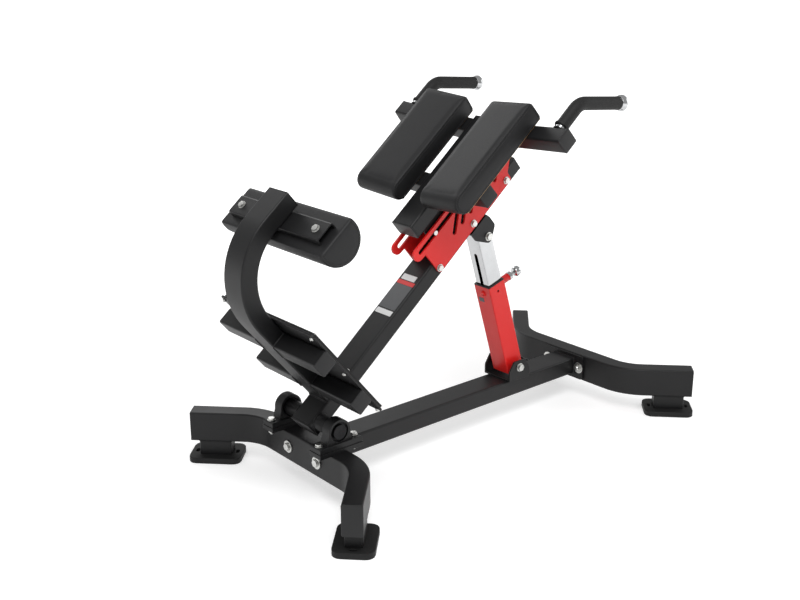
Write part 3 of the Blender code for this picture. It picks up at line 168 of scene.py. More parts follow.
# %% Powder coat
def powder_coat(name, colour, worn, rough, shine, peel_mm, peel):
    made, tree, place = new_material(name)
    cloud = noise(tree, place, 60, 3.0)
    skin = noise(tree, place, peel_mm, 2.0)
    rub = noise(tree, place, 9, 6.0, Roughness=0.7)
    marks = spread_of(tree, rub, 0.0, 1.0, 0.62, 0.78)
    satin = spread_of(tree, cloud, rough - 0.05, rough + 0.06)
    dull = add_node(tree, "Math", {0: marks, 1: 0.10, 2: satin}, operation="MULTIPLY_ADD")
    bump = add_node(tree, "Bump", {"Height": skin, "Strength": peel, "Distance": 0.0004})
    return finish_material(made, blend_of(tree, marks, colour, worn), dull, shine, Normal=bump)


FINISHES = {
    "black_powder_coat": powder_coat("satin_black_powder_coat", "#151516", "#1d1d1e", 0.44, 0.32, 1.6, 0.12),
    "red_powder_coat": powder_coat("gloss_red_powder_coat", "#e62321", "#ea3431", 0.34, 0.40, 1.8, 0.08),
}

# %% [markdown]
# ## Bare metals
# Chrome is bright and smooth, with faint smears where hands have been. Zinc plating on bolts is softer and
# slightly mottled. The bearings and the shaft are blackened: a thin dark oxide that still shines like metal.


# %% Bare metals
def bare_metal(name, colour, dull, rough, spread, smear_mm):
    made, tree, place = new_material(name)
    smear = noise(tree, place, smear_mm, 4.0)
    sheen = spread_of(tree, smear, rough - spread, rough + spread)
    return finish_material(made, blend_of(tree, smear, colour, dull), sheen, Metallic=1.0)


FINISHES |= {
    "chrome_plate": bare_metal("bright_chrome_plate", "#c3c4c5", "#b5b6b7", 0.10, 0.03, 25),
    "bright_zinc": bare_metal("bright_zinc_plate", "#dadad8", "#c2c2be", 0.30, 0.08, 6),
    "blackened_steel": bare_metal("blackened_bearing_steel", "#2e2e2f", "#252526", 0.42, 0.06, 4),
}

# %% [markdown]
# ## Vinyl, rubber and plastic
# The pads are covered with black artificial leather: soft vinyl embossed with a pebble grain of about a
# millimetre and a half. Cells from a Voronoi texture give the pebbles, and a broad noise bends them so they
# don't look machined. Rubber and plastic are duller, with a fine moulded tooth.


# %% Soft and moulded blacks
def embossed(name, colour, pale, rough, shine, grain_mm, depth):
    made, tree, place = new_material(name)
    drift = noise(tree, place, 9, 2.0).outputs["Color"]
    sway = {0: drift, 1: (0.0012, 0.0012, 0.0012), 2: place}
    bent = add_node(tree, "VectorMath", sway, operation="MULTIPLY_ADD")
    cells = {"Vector": bent, "Scale": 1000 / grain_mm, "Randomness": 0.9}
    pebble = add_node(tree, "TexVoronoi", cells, feature="SMOOTH_F1")
    broad = noise(tree, place, 80, 2.0)
    bump = add_node(tree, "Bump", {"Height": pebble, "Strength": 0.5, "Distance": depth}, invert=True)
    sheen = spread_of(tree, pebble, rough - 0.05, rough + 0.10)
    return finish_material(made, blend_of(tree, broad, colour, pale), sheen, shine, Normal=bump)


FINISHES |= {
    "black_vinyl": embossed("embossed_black_vinyl", "#19191a", "#1f1f20", 0.50, 0.30, 1.6, 0.00022),
    "black_rubber": embossed("moulded_black_rubber", "#131313", "#181818", 0.62, 0.32, 0.9, 0.00012),
    "black_plastic": embossed("moulded_black_polypropylene", "#161617", "#1b1b1c", 0.45, 0.38, 0.7, 0.00008),
}
THREAD = embossed("bonded_black_thread", "#101010", "#161616", 0.60, 0.30, 0.4, 0.00010)

# %% [markdown]
# ## Plywood
# Under each pad is a board of birch plywood. Its faces show long pale grain in slow bands. The grain is a
# noise that is stretched more than tenfold along the board.


# %% Plywood
def birch_plywood():
    made, tree, place = new_material("birch_plywood")
    along = add_node(tree, "Mapping", {"Vector": place, "Scale": (14.0, 160.0, 160.0)}, vector_type="POINT")
    grain = noise(tree, along, 1000, 5.0)
    bump = add_node(tree, "Bump", {"Height": grain, "Strength": 0.3, "Distance": 0.0003})
    return finish_material(made, blend_of(tree, grain, "#c8a678", "#a9845a"), 0.62, Normal=bump)


FINISHES["birch_plywood"] = birch_plywood()
print("finishes:", len(FINISHES))

# %% [markdown]
# ## White floor and soft lamps
# The backdrop of a product picture is white paper. Its diffuse part catches the shadows, and a little light
# of its own, seen only by the camera and in reflections, lifts it the rest of the way to white. Further out
# that light grows to full white, so the paper has no far edge. The lamps are large, so shadows are soft.

# %% Floor, world and lamps
WHITE = (1, 1, 1, 1)
FLOOR_GLOW = 0.42
GLOW_NEAR_M = 1.2
GLOW_FAR_M = 3.0
SKY = 0.50
LAMP_AIM = Vector((0, 0, 0.4))


def seen_ray(tree, *kinds):
    """1 for the rays that the eye follows, in a mirror too, and 0 for those that only carry light."""
    ray = add_node(tree, "LightPath")
    seen = ray.outputs["Is Camera Ray"]
    for kind in kinds:
        seen = add_node(tree, "Math", {0: seen, 1: ray.outputs[kind]}, operation="MAXIMUM")
    return seen


def studio_paper():
    made, tree, place = new_material("studio_paper")
    reach = add_node(tree, "VectorMath", {0: place}, operation="LENGTH").outputs["Value"]
    lift = spread_of(tree, reach, FLOOR_GLOW, 1.0, GLOW_NEAR_M, GLOW_FAR_M)
    seen = seen_ray(tree, "Is Glossy Ray", "Is Transmission Ray")
    glow = add_node(tree, "Math", {0: seen, 1: lift}, operation="MULTIPLY")
    light = {"Emission Color": WHITE, "Emission Strength": glow}
    return finish_material(made, hex_colour("#e8e8e8"), 0.9, 0.0, **light)


def studio_world():
    world = bpy.data.worlds.new("studio")
    bpy.context.scene.world = world
    world.use_nodes = True
    tree = world.node_tree
    tree.nodes.clear()
    level = spread_of(tree, seen_ray(tree, "Is Transmission Ray"), SKY, 1.0)
    paper = add_node(tree, "Background", {"Color": WHITE, "Strength": level})
    add_node(tree, "OutputWorld", {"Surface": paper})


def soft_lamp(name, place, size, watts):
    light = tune(bpy.data.lights.new(name, "AREA"), shape="RECTANGLE", energy=watts)
    light.size, light.size_y = size
    aim(in_scene(name, light), place, LAMP_AIM - Vector(place))


bm = bmesh.new()
bmesh.ops.create_grid(bm, x_segments=1, y_segments=1, size=30)
floor_mesh = bpy.data.meshes.new("floor")
bm.to_mesh(floor_mesh)
bm.free()
floor_mesh.materials.append(studio_paper())
floor = in_scene("floor", floor_mesh)
studio_world()
soft_lamp("key", (-1.2, -1.4, 3.3), (2.2, 2.2), 78)
soft_lamp("fill", (2.8, -1.6, 1.8), (2.0, 2.0), 22)
soft_lamp("rim", (0.6, 3.0, 2.4), (2.4, 1.6), 28)
print("floor glow:", FLOOR_GLOW, "sky:", SKY)

# %% [markdown]
# ## Where things sit
# A welded frame is easiest to draw along its own tubes. So most new pieces are made in the beam's axes,
# with X up its slope, Y across and Z square to its top, or in the strut's. Both come from the joints in the
# record: each joint gives a place and a direction.

# %% The beam's and the strut's own axes
joints = {joint["name"]: joint for joint in frame["record"]["behaviour"]["joints"]}
ACROSS = Vector((0, 1, 0))
UP = Vector((0, 0, 1))
SIDES = (("left", 1), ("right", -1))


def axes_at(place, x_axis, y_axis):
    """Matrix that puts a piece's X and Y along two directions, and its origin at a place."""
    along = Vector(x_axis).normalized()
    aside = Vector(y_axis).normalized()
    return Matrix.Translation(place) @ Matrix((along, aside, along.cross(aside))).transposed().to_4x4()


def facing(place, outward, across=ACROSS):
    """Matrix that puts a piece's Z along outward and its X along across."""
    return axes_at(place, across, Vector(outward).cross(Vector(across)))


def at(x, y, z):
    return Matrix.Translation((x, y, z))


BEAM = axes_at(joints["beam_tilt"]["pos_m"], joints["pad_slide"]["axis"], ACROSS)
STRUT = axes_at(joints["strut_tilt"]["pos_m"], joints["pull_pin_pull"]["axis"], ACROSS)
PIVOT = BEAM.translation
print("pivot:", [round(value, 4) for value in PIVOT])

# %% [markdown]
# ## Putting pieces in the scene
# Every piece is named, takes a finish from the record, and rides on the body that it's fixed to. Shading is
# smooth across bends and sharp at real edges. Where a piece takes the place of a CAD solid, it says so.

# %% Pieces
SMOOTH_ANGLE = math.radians(50)
SAME_POINT = 1e-6
body_of = {node: body for body, nodes in frame["record"]["behaviour"]["bodies"].items() for node in nodes}
slot_of = {entry["node"]: entry["material_slot"] for entry in frame["record"]["subparts"]}
REBUILT = set()


def new_mesh(name, bm, place=Matrix()):
    """A bmesh as a mesh, with its doubles merged and its faces outwards."""
    bmesh.ops.remove_doubles(bm, verts=bm.verts, dist=SAME_POINT)
    bmesh.ops.transform(bm, matrix=place, verts=bm.verts)
    bmesh.ops.recalc_face_normals(bm, faces=bm.faces)
    mesh = bpy.data.meshes.new(name)
    bm.to_mesh(mesh)
    bm.free()
    mesh.shade_smooth()
    mesh.set_sharp_from_angle(angle=SMOOTH_ANGLE)
    return mesh


def show(name, mesh, finish, body, *stands_for):
    """Puts a mesh in the scene as a piece of that finish that rides on a body."""
    made = in_scene(name, mesh)
    mesh.materials.clear()
    mesh.materials.append(FINISHES[finish])
    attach(made, body)
    if stands_for:
        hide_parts(*stands_for)
        REBUILT.update(stands_for)
    return made


def modify(piece, name, kind, **settings):
    return tune(piece.modifiers.new(name, kind), **settings)


def even_shading(piece):
    """Normals that lean to the larger faces, so a flat face looks flat up to its rounded edge."""
    modify(piece, "even_shading", "WEIGHTED_NORMAL", keep_sharp=True, weight=80)


def stand_in(node, bm, place=Matrix()):
    """Shows a rebuilt solid in the finish and on the body that its CAD node has."""
    even_shading(show(node + "_made", new_mesh(node, bm, place), slot_of[node], body_of[node], node))


def add_trim(name, bm, place, finish, body):
    """Shows a small piece that the CAD model doesn't have."""
    show(name, new_mesh(name, bm, place), finish, body)


# %% [markdown]
# ## Shapes in bmesh
# Four ways of making cover nearly every hard piece. A tube is a rounded end face that is drawn along
# straight runs and bends, as a tube bender does. A turned piece is a profile that is spun about its axis, as
# on a lathe. A block is a cube that is scaled. Last, hard edges are eased, since no real edge is sharp.

# %% Tubes, turned pieces and blocks
CORNER_STEPS = 5
ROUND_STEPS = 32
TURN_STEP = math.radians(5)
EASE_ANGLE = math.radians(30)
TUBE_CORNER = 0.0045
ROUND = {"profile": 0.5, "material": -1}


def only(kind, found):
    return [item for item in found if isinstance(item, kind)]


def all_of(bm):
    return bm.verts[:] + bm.edges[:] + bm.faces[:]


def add_shape(bm, shape, place=Matrix()):
    """Adds a shape to the bmesh of a larger piece, at a place."""
    mesh = new_mesh("shape", shape, place)
    bm.from_mesh(mesh)
    bpy.data.meshes.remove(mesh)


def ease_edges(bm, width, segments=2, above=-math.inf):
    """Rounds every hard edge that lies above a height, as a deburred or moulded one is."""
    bmesh.ops.remove_doubles(bm, verts=bm.verts, dist=SAME_POINT)
    bmesh.ops.recalc_face_normals(bm, faces=bm.faces)
    high = [edge for edge in bm.edges if edge.is_manifold and max(vert.co.z for vert in edge.verts) > above]
    hard = [edge for edge in high if edge.calc_face_angle() > EASE_ANGLE]
    bevel = {"offset": width, "segments": segments, "affect": "EDGES", "clamp_overlap": True, **ROUND}
    bmesh.ops.bevel(bm, geom=hard, **bevel)
    return bm


def flat_sheet(length, width):
    bm = bmesh.new()
    corners = bmesh.ops.create_grid(bm, x_segments=1, y_segments=1, size=0.5)["verts"]
    bmesh.ops.scale(bm, vec=(length, width, 1), verts=corners)
    return bm, corners


def round_off(bm, corners, radius, steps):
    bmesh.ops.bevel(bm, geom=corners, offset=radius, segments=steps, affect="VERTICES", **ROUND)


def boxed_end(width, depth, corner=TUBE_CORNER):
    """End face of a rectangular tube with round corners, in XY."""
    bm, corners = flat_sheet(width, depth)
    round_off(bm, corners, corner, CORNER_STEPS)
    return bm


def round_end(radius):
    bm = bmesh.new()
    bmesh.ops.create_circle(bm, cap_ends=True, radius=radius, segments=ROUND_STEPS)
    return bm


def drawn(bm, moves, start=Matrix()):
    """Draws an end face along its moves: a vector is a straight run, a vector and a factor a tapered one,
    and a centre, an axis and an angle a bend."""
    bmesh.ops.transform(bm, matrix=start, verts=bm.verts)
    rim = bm.edges[:]
    for move in moves:
        if isinstance(move, Vector) or len(move) == 2:
            along, factor = (move, 1) if isinstance(move, Vector) else move
            made = bmesh.ops.extrude_edge_only(bm, edges=rim)["geom"]
            ends = only(bmesh.types.BMVert, made)
            bmesh.ops.translate(bm, vec=along, verts=ends)
            middle = sum((end.co for end in ends), Vector()) / len(ends)
            bmesh.ops.scale(bm, vec=(factor,) * 3, space=Matrix.Translation(-middle), verts=ends)
            rim = only(bmesh.types.BMEdge, made)
        else:
            centre, axis, angle = move
            geom = rim + list({vert for edge in rim for vert in edge.verts})
            steps = max(6, round(abs(angle) / TURN_STEP))
            made = bmesh.ops.spin(bm, geom=geom, cent=centre, axis=axis, angle=angle, steps=steps)
            rim = only(bmesh.types.BMEdge, made["geom_last"])
    bmesh.ops.edgeloop_fill(bm, edges=rim)
    return bm


def turned(profile, ease=0.0005, steps=48):
    """Spins (radius, height) points about Z, and eases the rims that they leave."""
    bm = bmesh.new()
    points = [bm.verts.new((radius, 0, height)) for radius, height in profile]
    edges = [bm.edges.new(pair) for pair in zip(points, points[1:])]
    if profile[0][0] > 0:
        edges.append(bm.edges.new((points[-1], points[0])))
    whole_turn = {"axis": UP, "angle": math.tau, "steps": steps, "use_merge": True}
    bmesh.ops.spin(bm, geom=points + edges, **whole_turn)
    return ease_edges(bm, ease)


def rod(radius, low, high, ease=0.0001, steps=24):
    return turned([(0, high), (radius, high), (radius, low), (0, low)], ease, steps)


def block(size, ease=0.0008):
    bm = bmesh.new()
    bmesh.ops.create_cube(bm, size=1)
    bmesh.ops.scale(bm, vec=size, verts=bm.verts)
    return ease_edges(bm, ease)


# %% [markdown]
# ## Cords, beads and plugs
# Three small things repeat all over the bench. A weld bead is a round cord with slow ripples, laid in the
# corner where two tubes meet. A welt on a cushion is a fine cord too. A plug closes each open tube: its lip
# is 3 mm of black plastic with a softened rim and a face that stands slightly proud.

# %% Cords, weld beads and plugs
RIPPLE_TURN = 1.9
BEAD_STEP = 0.0022
PLUG_T = 0.003
PLUG_RIM = 0.0011
PLUG_PROUD = 0.0006
weld_paths = {}


def applied(obj):
    """The object's mesh with its modifiers applied; the object goes."""
    mesh = bpy.data.meshes.new_from_object(obj.evaluated_get(bpy.context.evaluated_depsgraph_get()))
    bpy.data.objects.remove(obj)
    return mesh


def spaced(points, step):
    """Points round a closed path, a step apart."""
    made = []
    for first, last in zip(points, points[1:] + points[:1]):
        count = max(1, round((last - first).length / step))
        made += [first.lerp(last, index / count) for index in range(count)]
    return made


def cord_mesh(name, paths, radius, closed=True, ripple=0.0, sides=3):
    """Round cords along lists of points, as one mesh."""
    curve = bpy.data.curves.new(name, "CURVE")
    tune(curve, dimensions="3D", bevel_depth=radius, bevel_resolution=sides, use_fill_caps=True)
    for path in paths:
        spline = curve.splines.new("POLY")
        spline.points.add(len(path) - 1)
        spline.use_cyclic_u = closed
        for index, (point, place) in enumerate(zip(spline.points, path)):
            point.co = (*place, 1)
            point.radius = 1 + ripple * math.sin(RIPPLE_TURN * index)
    mesh = applied(in_scene(name, curve))
    bm = bmesh.new()
    bm.from_mesh(mesh)
    bpy.data.meshes.remove(mesh)
    return new_mesh(name, bm)


def rim_path(end, place=Matrix()):
    """Points round an end face, in order, at a place."""
    end.faces.ensure_lookup_table()
    path = [place @ vert.co for vert in end.faces[0].verts]
    end.free()
    return path


def weld(body, end, place):
    """Notes a weld round the foot of a tube, whose end face is given; beads are laid once all are known."""
    weld_paths.setdefault(body, []).append(spaced(rim_path(end, place), BEAD_STEP))


def end_plug(name, width, depth, body, place):
    """Lip of a push-in plug, on the end of a tube that looks along the place's Z."""
    bm = drawn(boxed_end(width, depth), [Vector((0, 0, PLUG_T))])
    ease_edges(bm, PLUG_RIM, 3)
    face = max(bm.faces, key=lambda face: face.calc_center_median().z)
    bmesh.ops.inset_region(bm, faces=[face], thickness=0.003)
    bmesh.ops.translate(bm, vec=(0, 0, PLUG_PROUD), verts=face.verts)
    add_trim(name, bm, place, "black_plastic", body)


print("plug lip:", PLUG_T * 1000, "mm")

# %% [markdown]
# ## Legs
# Each leg is one rectangular tube, bent outwards on both sides so the bench stands wide. A short stem is
# welded under each end. The bend has a radius of about one and a half tube widths, the least that such a
# tube takes without kinking. Half a leg is drawn from the middle out, and mirrored. The front leg also
# carries the two plates that the bearings are bolted to.

# %% Legs with stems, plates and plugs
BASE_W = 0.080
BASE_D = 0.050
LEG_Z = 0.0935
LEG_BOTTOM = LEG_Z - BASE_W / 2
LEG_MIDDLES = {"front": -0.46662, "rear": 0.50238}
LEG_KNEE_Y = 0.2045
LEG_REACH = 0.1925
LEG_BEND_R = 0.130
LEG_FLARE = math.radians(45)
FOOT_REACH = 0.1285
SOLE_T = 0.0155
SOLE_GAP = 0.0003
STEM = (0.085, 0.044)
STEM_ROOT = 0.002
BLOCK_Y = 0.100
PLATE = (0.130, 0.044, 0.012)
PLATE_Z = 0.1384


def leg_ahead(side):
    return Vector((-math.sin(LEG_FLARE), side * math.cos(LEG_FLARE), 0))


def leg_point(reach, side, z):
    """Point of the front leg that far out from its knee, with the leg's middle at the origin."""
    return Vector((0, side * LEG_KNEE_Y, z)) + leg_ahead(side) * reach


def leg_tube():
    tangent = LEG_BEND_R * math.tan(LEG_FLARE / 2)
    knee = LEG_KNEE_Y - tangent
    half = drawn(
        boxed_end(BASE_D, BASE_W),
        [
            Vector((0, knee, 0)),
            ((-LEG_BEND_R, knee, 0), (0, 0, 1), LEG_FLARE),
            leg_ahead(1) * (LEG_REACH - tangent - PLUG_T),
        ],
        at(0, 0, LEG_Z) @ Matrix.Rotation(math.pi / 2, 4, "X"),
    )
    middle_face = [face for face in half.faces if face.calc_center_median().y < 1e-5]
    bmesh.ops.delete(half, geom=middle_face, context="FACES_ONLY")
    bmesh.ops.mirror(half, geom=all_of(half), axis="Y", merge_dist=1e-5)
    return half


for end_name, turn in (("front", 0), ("rear", math.pi)):
    spot = at(LEG_MIDDLES[end_name], 0, 0) @ Matrix.Rotation(turn, 4, "Z")
    bm = bmesh.new()
    if end_name == "front":
        for side in (1, -1):
            add_shape(bm, block(PLATE), at(PIVOT.x - spot.translation.x, side * BLOCK_Y, PLATE_Z))
    add_shape(bm, leg_tube())
    for side in (1, -1):
        outward = leg_ahead(side)
        foot = leg_point(FOOT_REACH, side, SOLE_T + SOLE_GAP)
        lay = axes_at(foot, outward, UP.cross(outward))
        rise = LEG_BOTTOM - foot.z
        add_shape(bm, drawn(boxed_end(*STEM), [Vector((0, 0, rise + STEM_ROOT))]), lay)
        weld("base", boxed_end(*STEM), spot @ at(0, 0, rise) @ lay)
        tip = leg_point(LEG_REACH - PLUG_T, side, LEG_Z)
        plug_name = "leg_plug_" + end_name + ("_a" if side > 0 else "_b")
        end_plug(plug_name, BASE_W, BASE_D, "base", spot @ facing(tip, outward, UP))
    stand_in(end_name + "_leg", bm, spot)
print("welds so far:", len(weld_paths["base"]))

# %% [markdown]
# ## Roller arm and steps
# The arm stands on the beam and sweeps over the ankles in one bend. Two pairs of square steps are welded to
# its sides. They end in plugs, as every open tube on the bench does.

# %% Arm, steps and their plugs
TUBE_W = 0.075
TUBE_D = 0.045
BEAM_TOP = TUBE_D / 2
BEAM_ENDS = (-0.030, 0.866)
ARM_U = 0.068
ARM_BEND_R = 0.1635
ARM_BEND_Z = 0.311
ARM_TIP_U = 0.3175
STEP_RISES = {"low": 0.0781, "high": 0.2362}
STEP_ROOT = 0.030
STEP_REACH = 0.197


def end_plugs(name, ends, rise, body):
    """Plugs both ends of a tube that lies along the beam, at a height over it."""
    for label, u, outward in zip(("_low", "_high"), ends, (-1, 1)):
        lay = BEAM @ facing((u - outward * PLUG_T, 0, rise), (outward, 0, 0), UP)
        end_plug(name + label, TUBE_D, TUBE_W, body, lay)


bm = drawn(
    boxed_end(TUBE_D, TUBE_W),
    [
        Vector((0, 0, ARM_BEND_Z - BEAM_TOP)),
        ((ARM_U + ARM_BEND_R, 0, ARM_BEND_Z), (0, 1, 0), math.pi / 2),
        Vector((ARM_TIP_U - PLUG_T - ARM_U - ARM_BEND_R, 0, 0)),
    ],
    at(ARM_U, 0, BEAM_TOP),
)
weld("main_beam", boxed_end(TUBE_D, TUBE_W), BEAM @ at(ARM_U, 0, BEAM_TOP))
for level, rise in STEP_RISES.items():
    for name, side in SIDES:
        lay = facing((ARM_U, side * STEP_ROOT, rise), (0, side, 0), (1, 0, 0))
        step_h = STEP_REACH - PLUG_T - STEP_ROOT
        add_shape(bm, drawn(boxed_end(TUBE_D, TUBE_D), [Vector((0, 0, step_h))]), lay)
        weld("main_beam", boxed_end(TUBE_D, TUBE_D), BEAM @ lay @ at(0, 0, TUBE_W / 2 - STEP_ROOT))
        plug_name = "step_plug_" + level + "_" + name
        end_plug(plug_name, TUBE_D, TUBE_D, "main_beam", BEAM @ lay @ at(0, 0, step_h))
stand_in("roller_arm", bm, BEAM)
arm_tip = (ARM_TIP_U - PLUG_T, 0, ARM_BEND_Z + ARM_BEND_R)
end_plug("arm_plug", TUBE_D, TUBE_W, "main_beam", BEAM @ facing(arm_tip, (1, 0, 0), UP))
end_plugs("beam_plug", BEAM_ENDS, 0, "main_beam")
print("steps:", 2 * len(STEP_RISES))

# %% [markdown]
# ## Carriage, crossbars and their welds
# The carriage tube and its crossbars keep their CAD shapes. They get plugs, and a bead where each bar
# meets the carriage. The bars are canted a few degrees, so their ends lie in a tilted plane, the rail plane.

# %% Plugs and welds of the carriage
RAIL_CANT = math.radians(5.3)
RAIL_RISE = 0.1246
RAILS = (("low", 0.655, 0.185), ("high", 0.8507, 0.3035))
CARRIAGE_RISE = 0.1315
CARRIAGE_ENDS = (0.505, 0.880)


def rail_plane(side):
    """Axes of one side's crossbars and pad: X up the beam, Y out along the bars, raised by the cant."""
    return BEAM @ at(0, 0, RAIL_RISE) @ Matrix.Rotation(side * RAIL_CANT, 4, "X")


for name, side in SIDES:
    for rail, u, reach in RAILS:
        tip = Vector((u, side * (reach / math.cos(RAIL_CANT) - PLUG_T), 0))
        lay = rail_plane(side) @ facing(tip, (0, side, 0), (1, 0, 0))
        end_plug("crossbar_plug_" + rail + "_" + name, TUBE_D, TUBE_D, "pad_carriage", lay)
        foot = facing((u, side * TUBE_W / 2, 0), (0, side, 0), (1, 0, 0))
        weld("pad_carriage", boxed_end(TUBE_D, TUBE_D), rail_plane(side) @ foot)
end_plugs("carriage_plug", CARRIAGE_ENDS, CARRIAGE_RISE, "pad_carriage")
print("cant:", round(math.degrees(RAIL_CANT), 1), "degrees")

# %% [markdown]
# ## Handles
# A handle is a chromed round tube, welded to the end of the upper crossbar and bent down at the hand. Over
# it is pushed a rubber grip, with a rolled lip where the hand starts. A turned chrome cap, broader than the
# grip so that it can't slip off, closes the tube with a shallow dome. The lip and the end of the grip are
# lists of steps: how far each goes, and the radius in millimetres that it ends with.

# %% Handles, grips and caps
HANDLE_Y = 0.262
HANDLE_N = 0.1581
HANDLE_R = 0.014
HANDLE_START_U = 0.8735
HANDLE_KNEE_U = 0.9645
HANDLE_BEND = math.radians(45)
HANDLE_BEND_R = 0.050
HANDLE_REACH = 0.1485
GRIP_START_U = 0.8835
GRIP_FLARE = 0.010
GRIP_BORE_MM = 15.2
GRIP_MM = 17.0
GRIP_LIP = ((0, 18.6), (0.0012, 19.4), (0.0035, 19.4), (0.0014, GRIP_MM))
GRIP_END = ((0.0065, 17.5), (0.0025, 17.3), (0.0010, 16.4))
CAP_PROFILE = (
    (0, 0.0230), (0.0080, 0.0226), (0.0150, 0.0212), (0.0195, 0.0186), (0.0212, 0.0150), (0.0210, 0.0105),
    (0.0192, 0.0060), (0.0178, 0.0030), (0.0176, 0.0004), (0.0118, 0.0002), (0.0118, -0.0150), (0, -0.0150),
)
HANDLE_OUT = Vector((math.cos(HANDLE_BEND), 0, -math.sin(HANDLE_BEND)))
bend_reach = HANDLE_BEND_R * math.tan(HANDLE_BEND / 2)
bend_start = HANDLE_KNEE_U - bend_reach
handle_bend = ((bend_start, 0, -HANDLE_BEND_R), (0, 1, 0), HANDLE_BEND)


def along_x(u):
    return facing((u, 0, 0), (1, 0, 0))


def tapered(along, steps, radius):
    """Tapered runs for a list of steps, which start at a radius."""
    runs = []
    for length, end_radius in steps:
        runs.append((along * length, end_radius / radius))
        radius = end_radius
    return runs


def handle_skin():
    straight = Vector((bend_start - HANDLE_START_U, 0, 0))
    runs = [straight, handle_bend, HANDLE_OUT * (HANDLE_REACH - bend_reach)]
    return drawn(round_end(HANDLE_R), runs, along_x(HANDLE_START_U))


def grip_skin():
    lip = sum(length for length, radius in GRIP_LIP)
    runs = tapered(Vector((1, 0, 0)), GRIP_LIP, GRIP_BORE_MM)
    runs += [Vector((bend_start - GRIP_START_U - lip, 0, 0)), handle_bend]
    runs.append(HANDLE_OUT * (HANDLE_REACH - bend_reach - GRIP_FLARE))
    runs += tapered(HANDLE_OUT, GRIP_END, GRIP_MM)
    return drawn(round_end(GRIP_BORE_MM / 1000), runs, along_x(GRIP_START_U))


for name, side in SIDES:
    lay = BEAM @ at(0, side * HANDLE_Y, HANDLE_N)
    stand_in("handle_" + name, handle_skin(), lay)
    stand_in("grip_" + name, grip_skin(), lay)
    tip = Vector((HANDLE_KNEE_U, 0, 0)) + HANDLE_OUT * HANDLE_REACH
    stand_in("grip_cap_" + name, turned(CAP_PROFILE, 0.0004), lay @ facing(tip, HANDLE_OUT))
    weld("pad_carriage", round_end(HANDLE_R), lay @ along_x(HANDLE_START_U))
print("grip length:", round((bend_start - GRIP_START_U + HANDLE_REACH) * 1000), "mm")

# %% [markdown]
# ## Bolts
# A bolt here is a hexagon head, a washer, a shank and a nut with its own washer, and a few turns of thread
# past the nut. The heads are chamfered by easing their rims. Threads are drawn as rings at the true pitch,
# 1.5 mm on a 10 mm bolt, since nobody sees that they don't climb. The CAD solid's box says where each sits.


# %% Bolts
def hexagon(radius, height, low):
    """Bolt head or nut that stands on a height, with its rims chamfered."""
    bm = bmesh.new()
    lift = at(0, 0, low + height / 2)
    size = {"radius1": 1.75 * radius, "radius2": 1.75 * radius, "depth": height}
    bmesh.ops.create_cone(bm, cap_ends=True, segments=6, matrix=lift, **size)
    return ease_edges(bm, 0.12 * radius, 1)


def washer(inner, outer, thick):
    return turned([(inner, 0), (outer, 0), (outer, thick), (inner, thick)], 0.0003)


def thread(radius, low, high, pitch):
    """Shank end with rings cut at the pitch."""
    turns = max(1, round((high - low) / pitch))
    step = (high - low) / turns
    profile = [(0, high), (0.86 * radius, high)]
    for turn in range(turns):
        profile += [(radius, high - (turn + 0.5) * step), (0.87 * radius, high - (turn + 1) * step)]
    return turned(profile + [(0, low)], 0.00005, 24)


def bolt_shape(radius, grip, head_h, nut_h, washer_r, washer_t, nutted=True):
    """Bolt whose head's washer stands on Z = 0, and whose nut is run up under a grip."""
    bm = bmesh.new()
    add_shape(bm, hexagon(radius, head_h - washer_t, washer_t))
    add_shape(bm, washer(radius, washer_r, washer_t))
    add_shape(bm, rod(0.95 * radius, -grip, 0))
    if nutted:
        nut_end = -grip - nut_h
        add_shape(bm, washer(radius, washer_r, washer_t), at(0, 0, -grip - washer_t))
        add_shape(bm, hexagon(radius, nut_h - washer_t, nut_end))
        add_shape(bm, thread(radius, nut_end - 0.8 * radius, nut_end + 0.001, 0.3 * radius))
    return bm


def bolt_at(node, outward, radius, grip, head_h, *nut_and_washer):
    """Stands a bolt in for a CAD one, with its head where that one's is."""
    low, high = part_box(node)
    half = abs((high - low).dot(outward)) / 2
    across = UP if abs(outward.z) < 0.5 else Vector((1, 0, 0))
    seat = facing((low + high) / 2 + outward * (half - head_h), outward, across)
    stand_in(node, bolt_shape(radius, grip, head_h, *nut_and_washer), seat)


def plain_bolt(node, radius, grip, outward):
    bolt_at(node, outward, radius, grip, 1.3 * radius, 1.4 * radius, 2.0 * radius, 0.0012)


NEAR = Vector((0, -1, 0))
for name, _ in SIDES:
    for end_name, outward in (("front", Vector((-1, 0, 0))), ("rear", Vector((1, 0, 0)))):
        bolt_at("leg_bolt_" + end_name + "_" + name, outward, 0.006, 0.0569, 0.009, 0.009, 0.016, 0.003)
        plain_bolt("block_bolt_" + end_name + "_" + name, 0.005, 0.0269, UP)
for index in (1, 2, 3):
    plain_bolt("adjuster_bolt_" + str(index), 0.005, 0.0882, NEAR)
plain_bolt("strut_foot_bolt", 0.006, 0.1006, NEAR)
plain_bolt("strut_head_bolt", 0.006, 0.0786, NEAR)
for name, side in SIDES:
    shape = bolt_shape(0.005, 0.040, 0.0065, 0.007, 0.010, 0.0012, False)
    stand_in("roller_bolt_" + name, shape, BEAM @ at(0.2738, side * 0.147, 0.452))
print("bolts:", sum("bolt" in node for node in REBUILT))

# %% [markdown]
# ## Bearings, shaft and turned parts
# The pillow blocks hold ball bearings whose inner rings clamp on the shaft. From outside one sees the ring,
# a rubber seal that sits in a groove, and the collar. The shaft's ends have broad caps with a shallow dish.
# Both are alike on either side, so half a profile is enough.

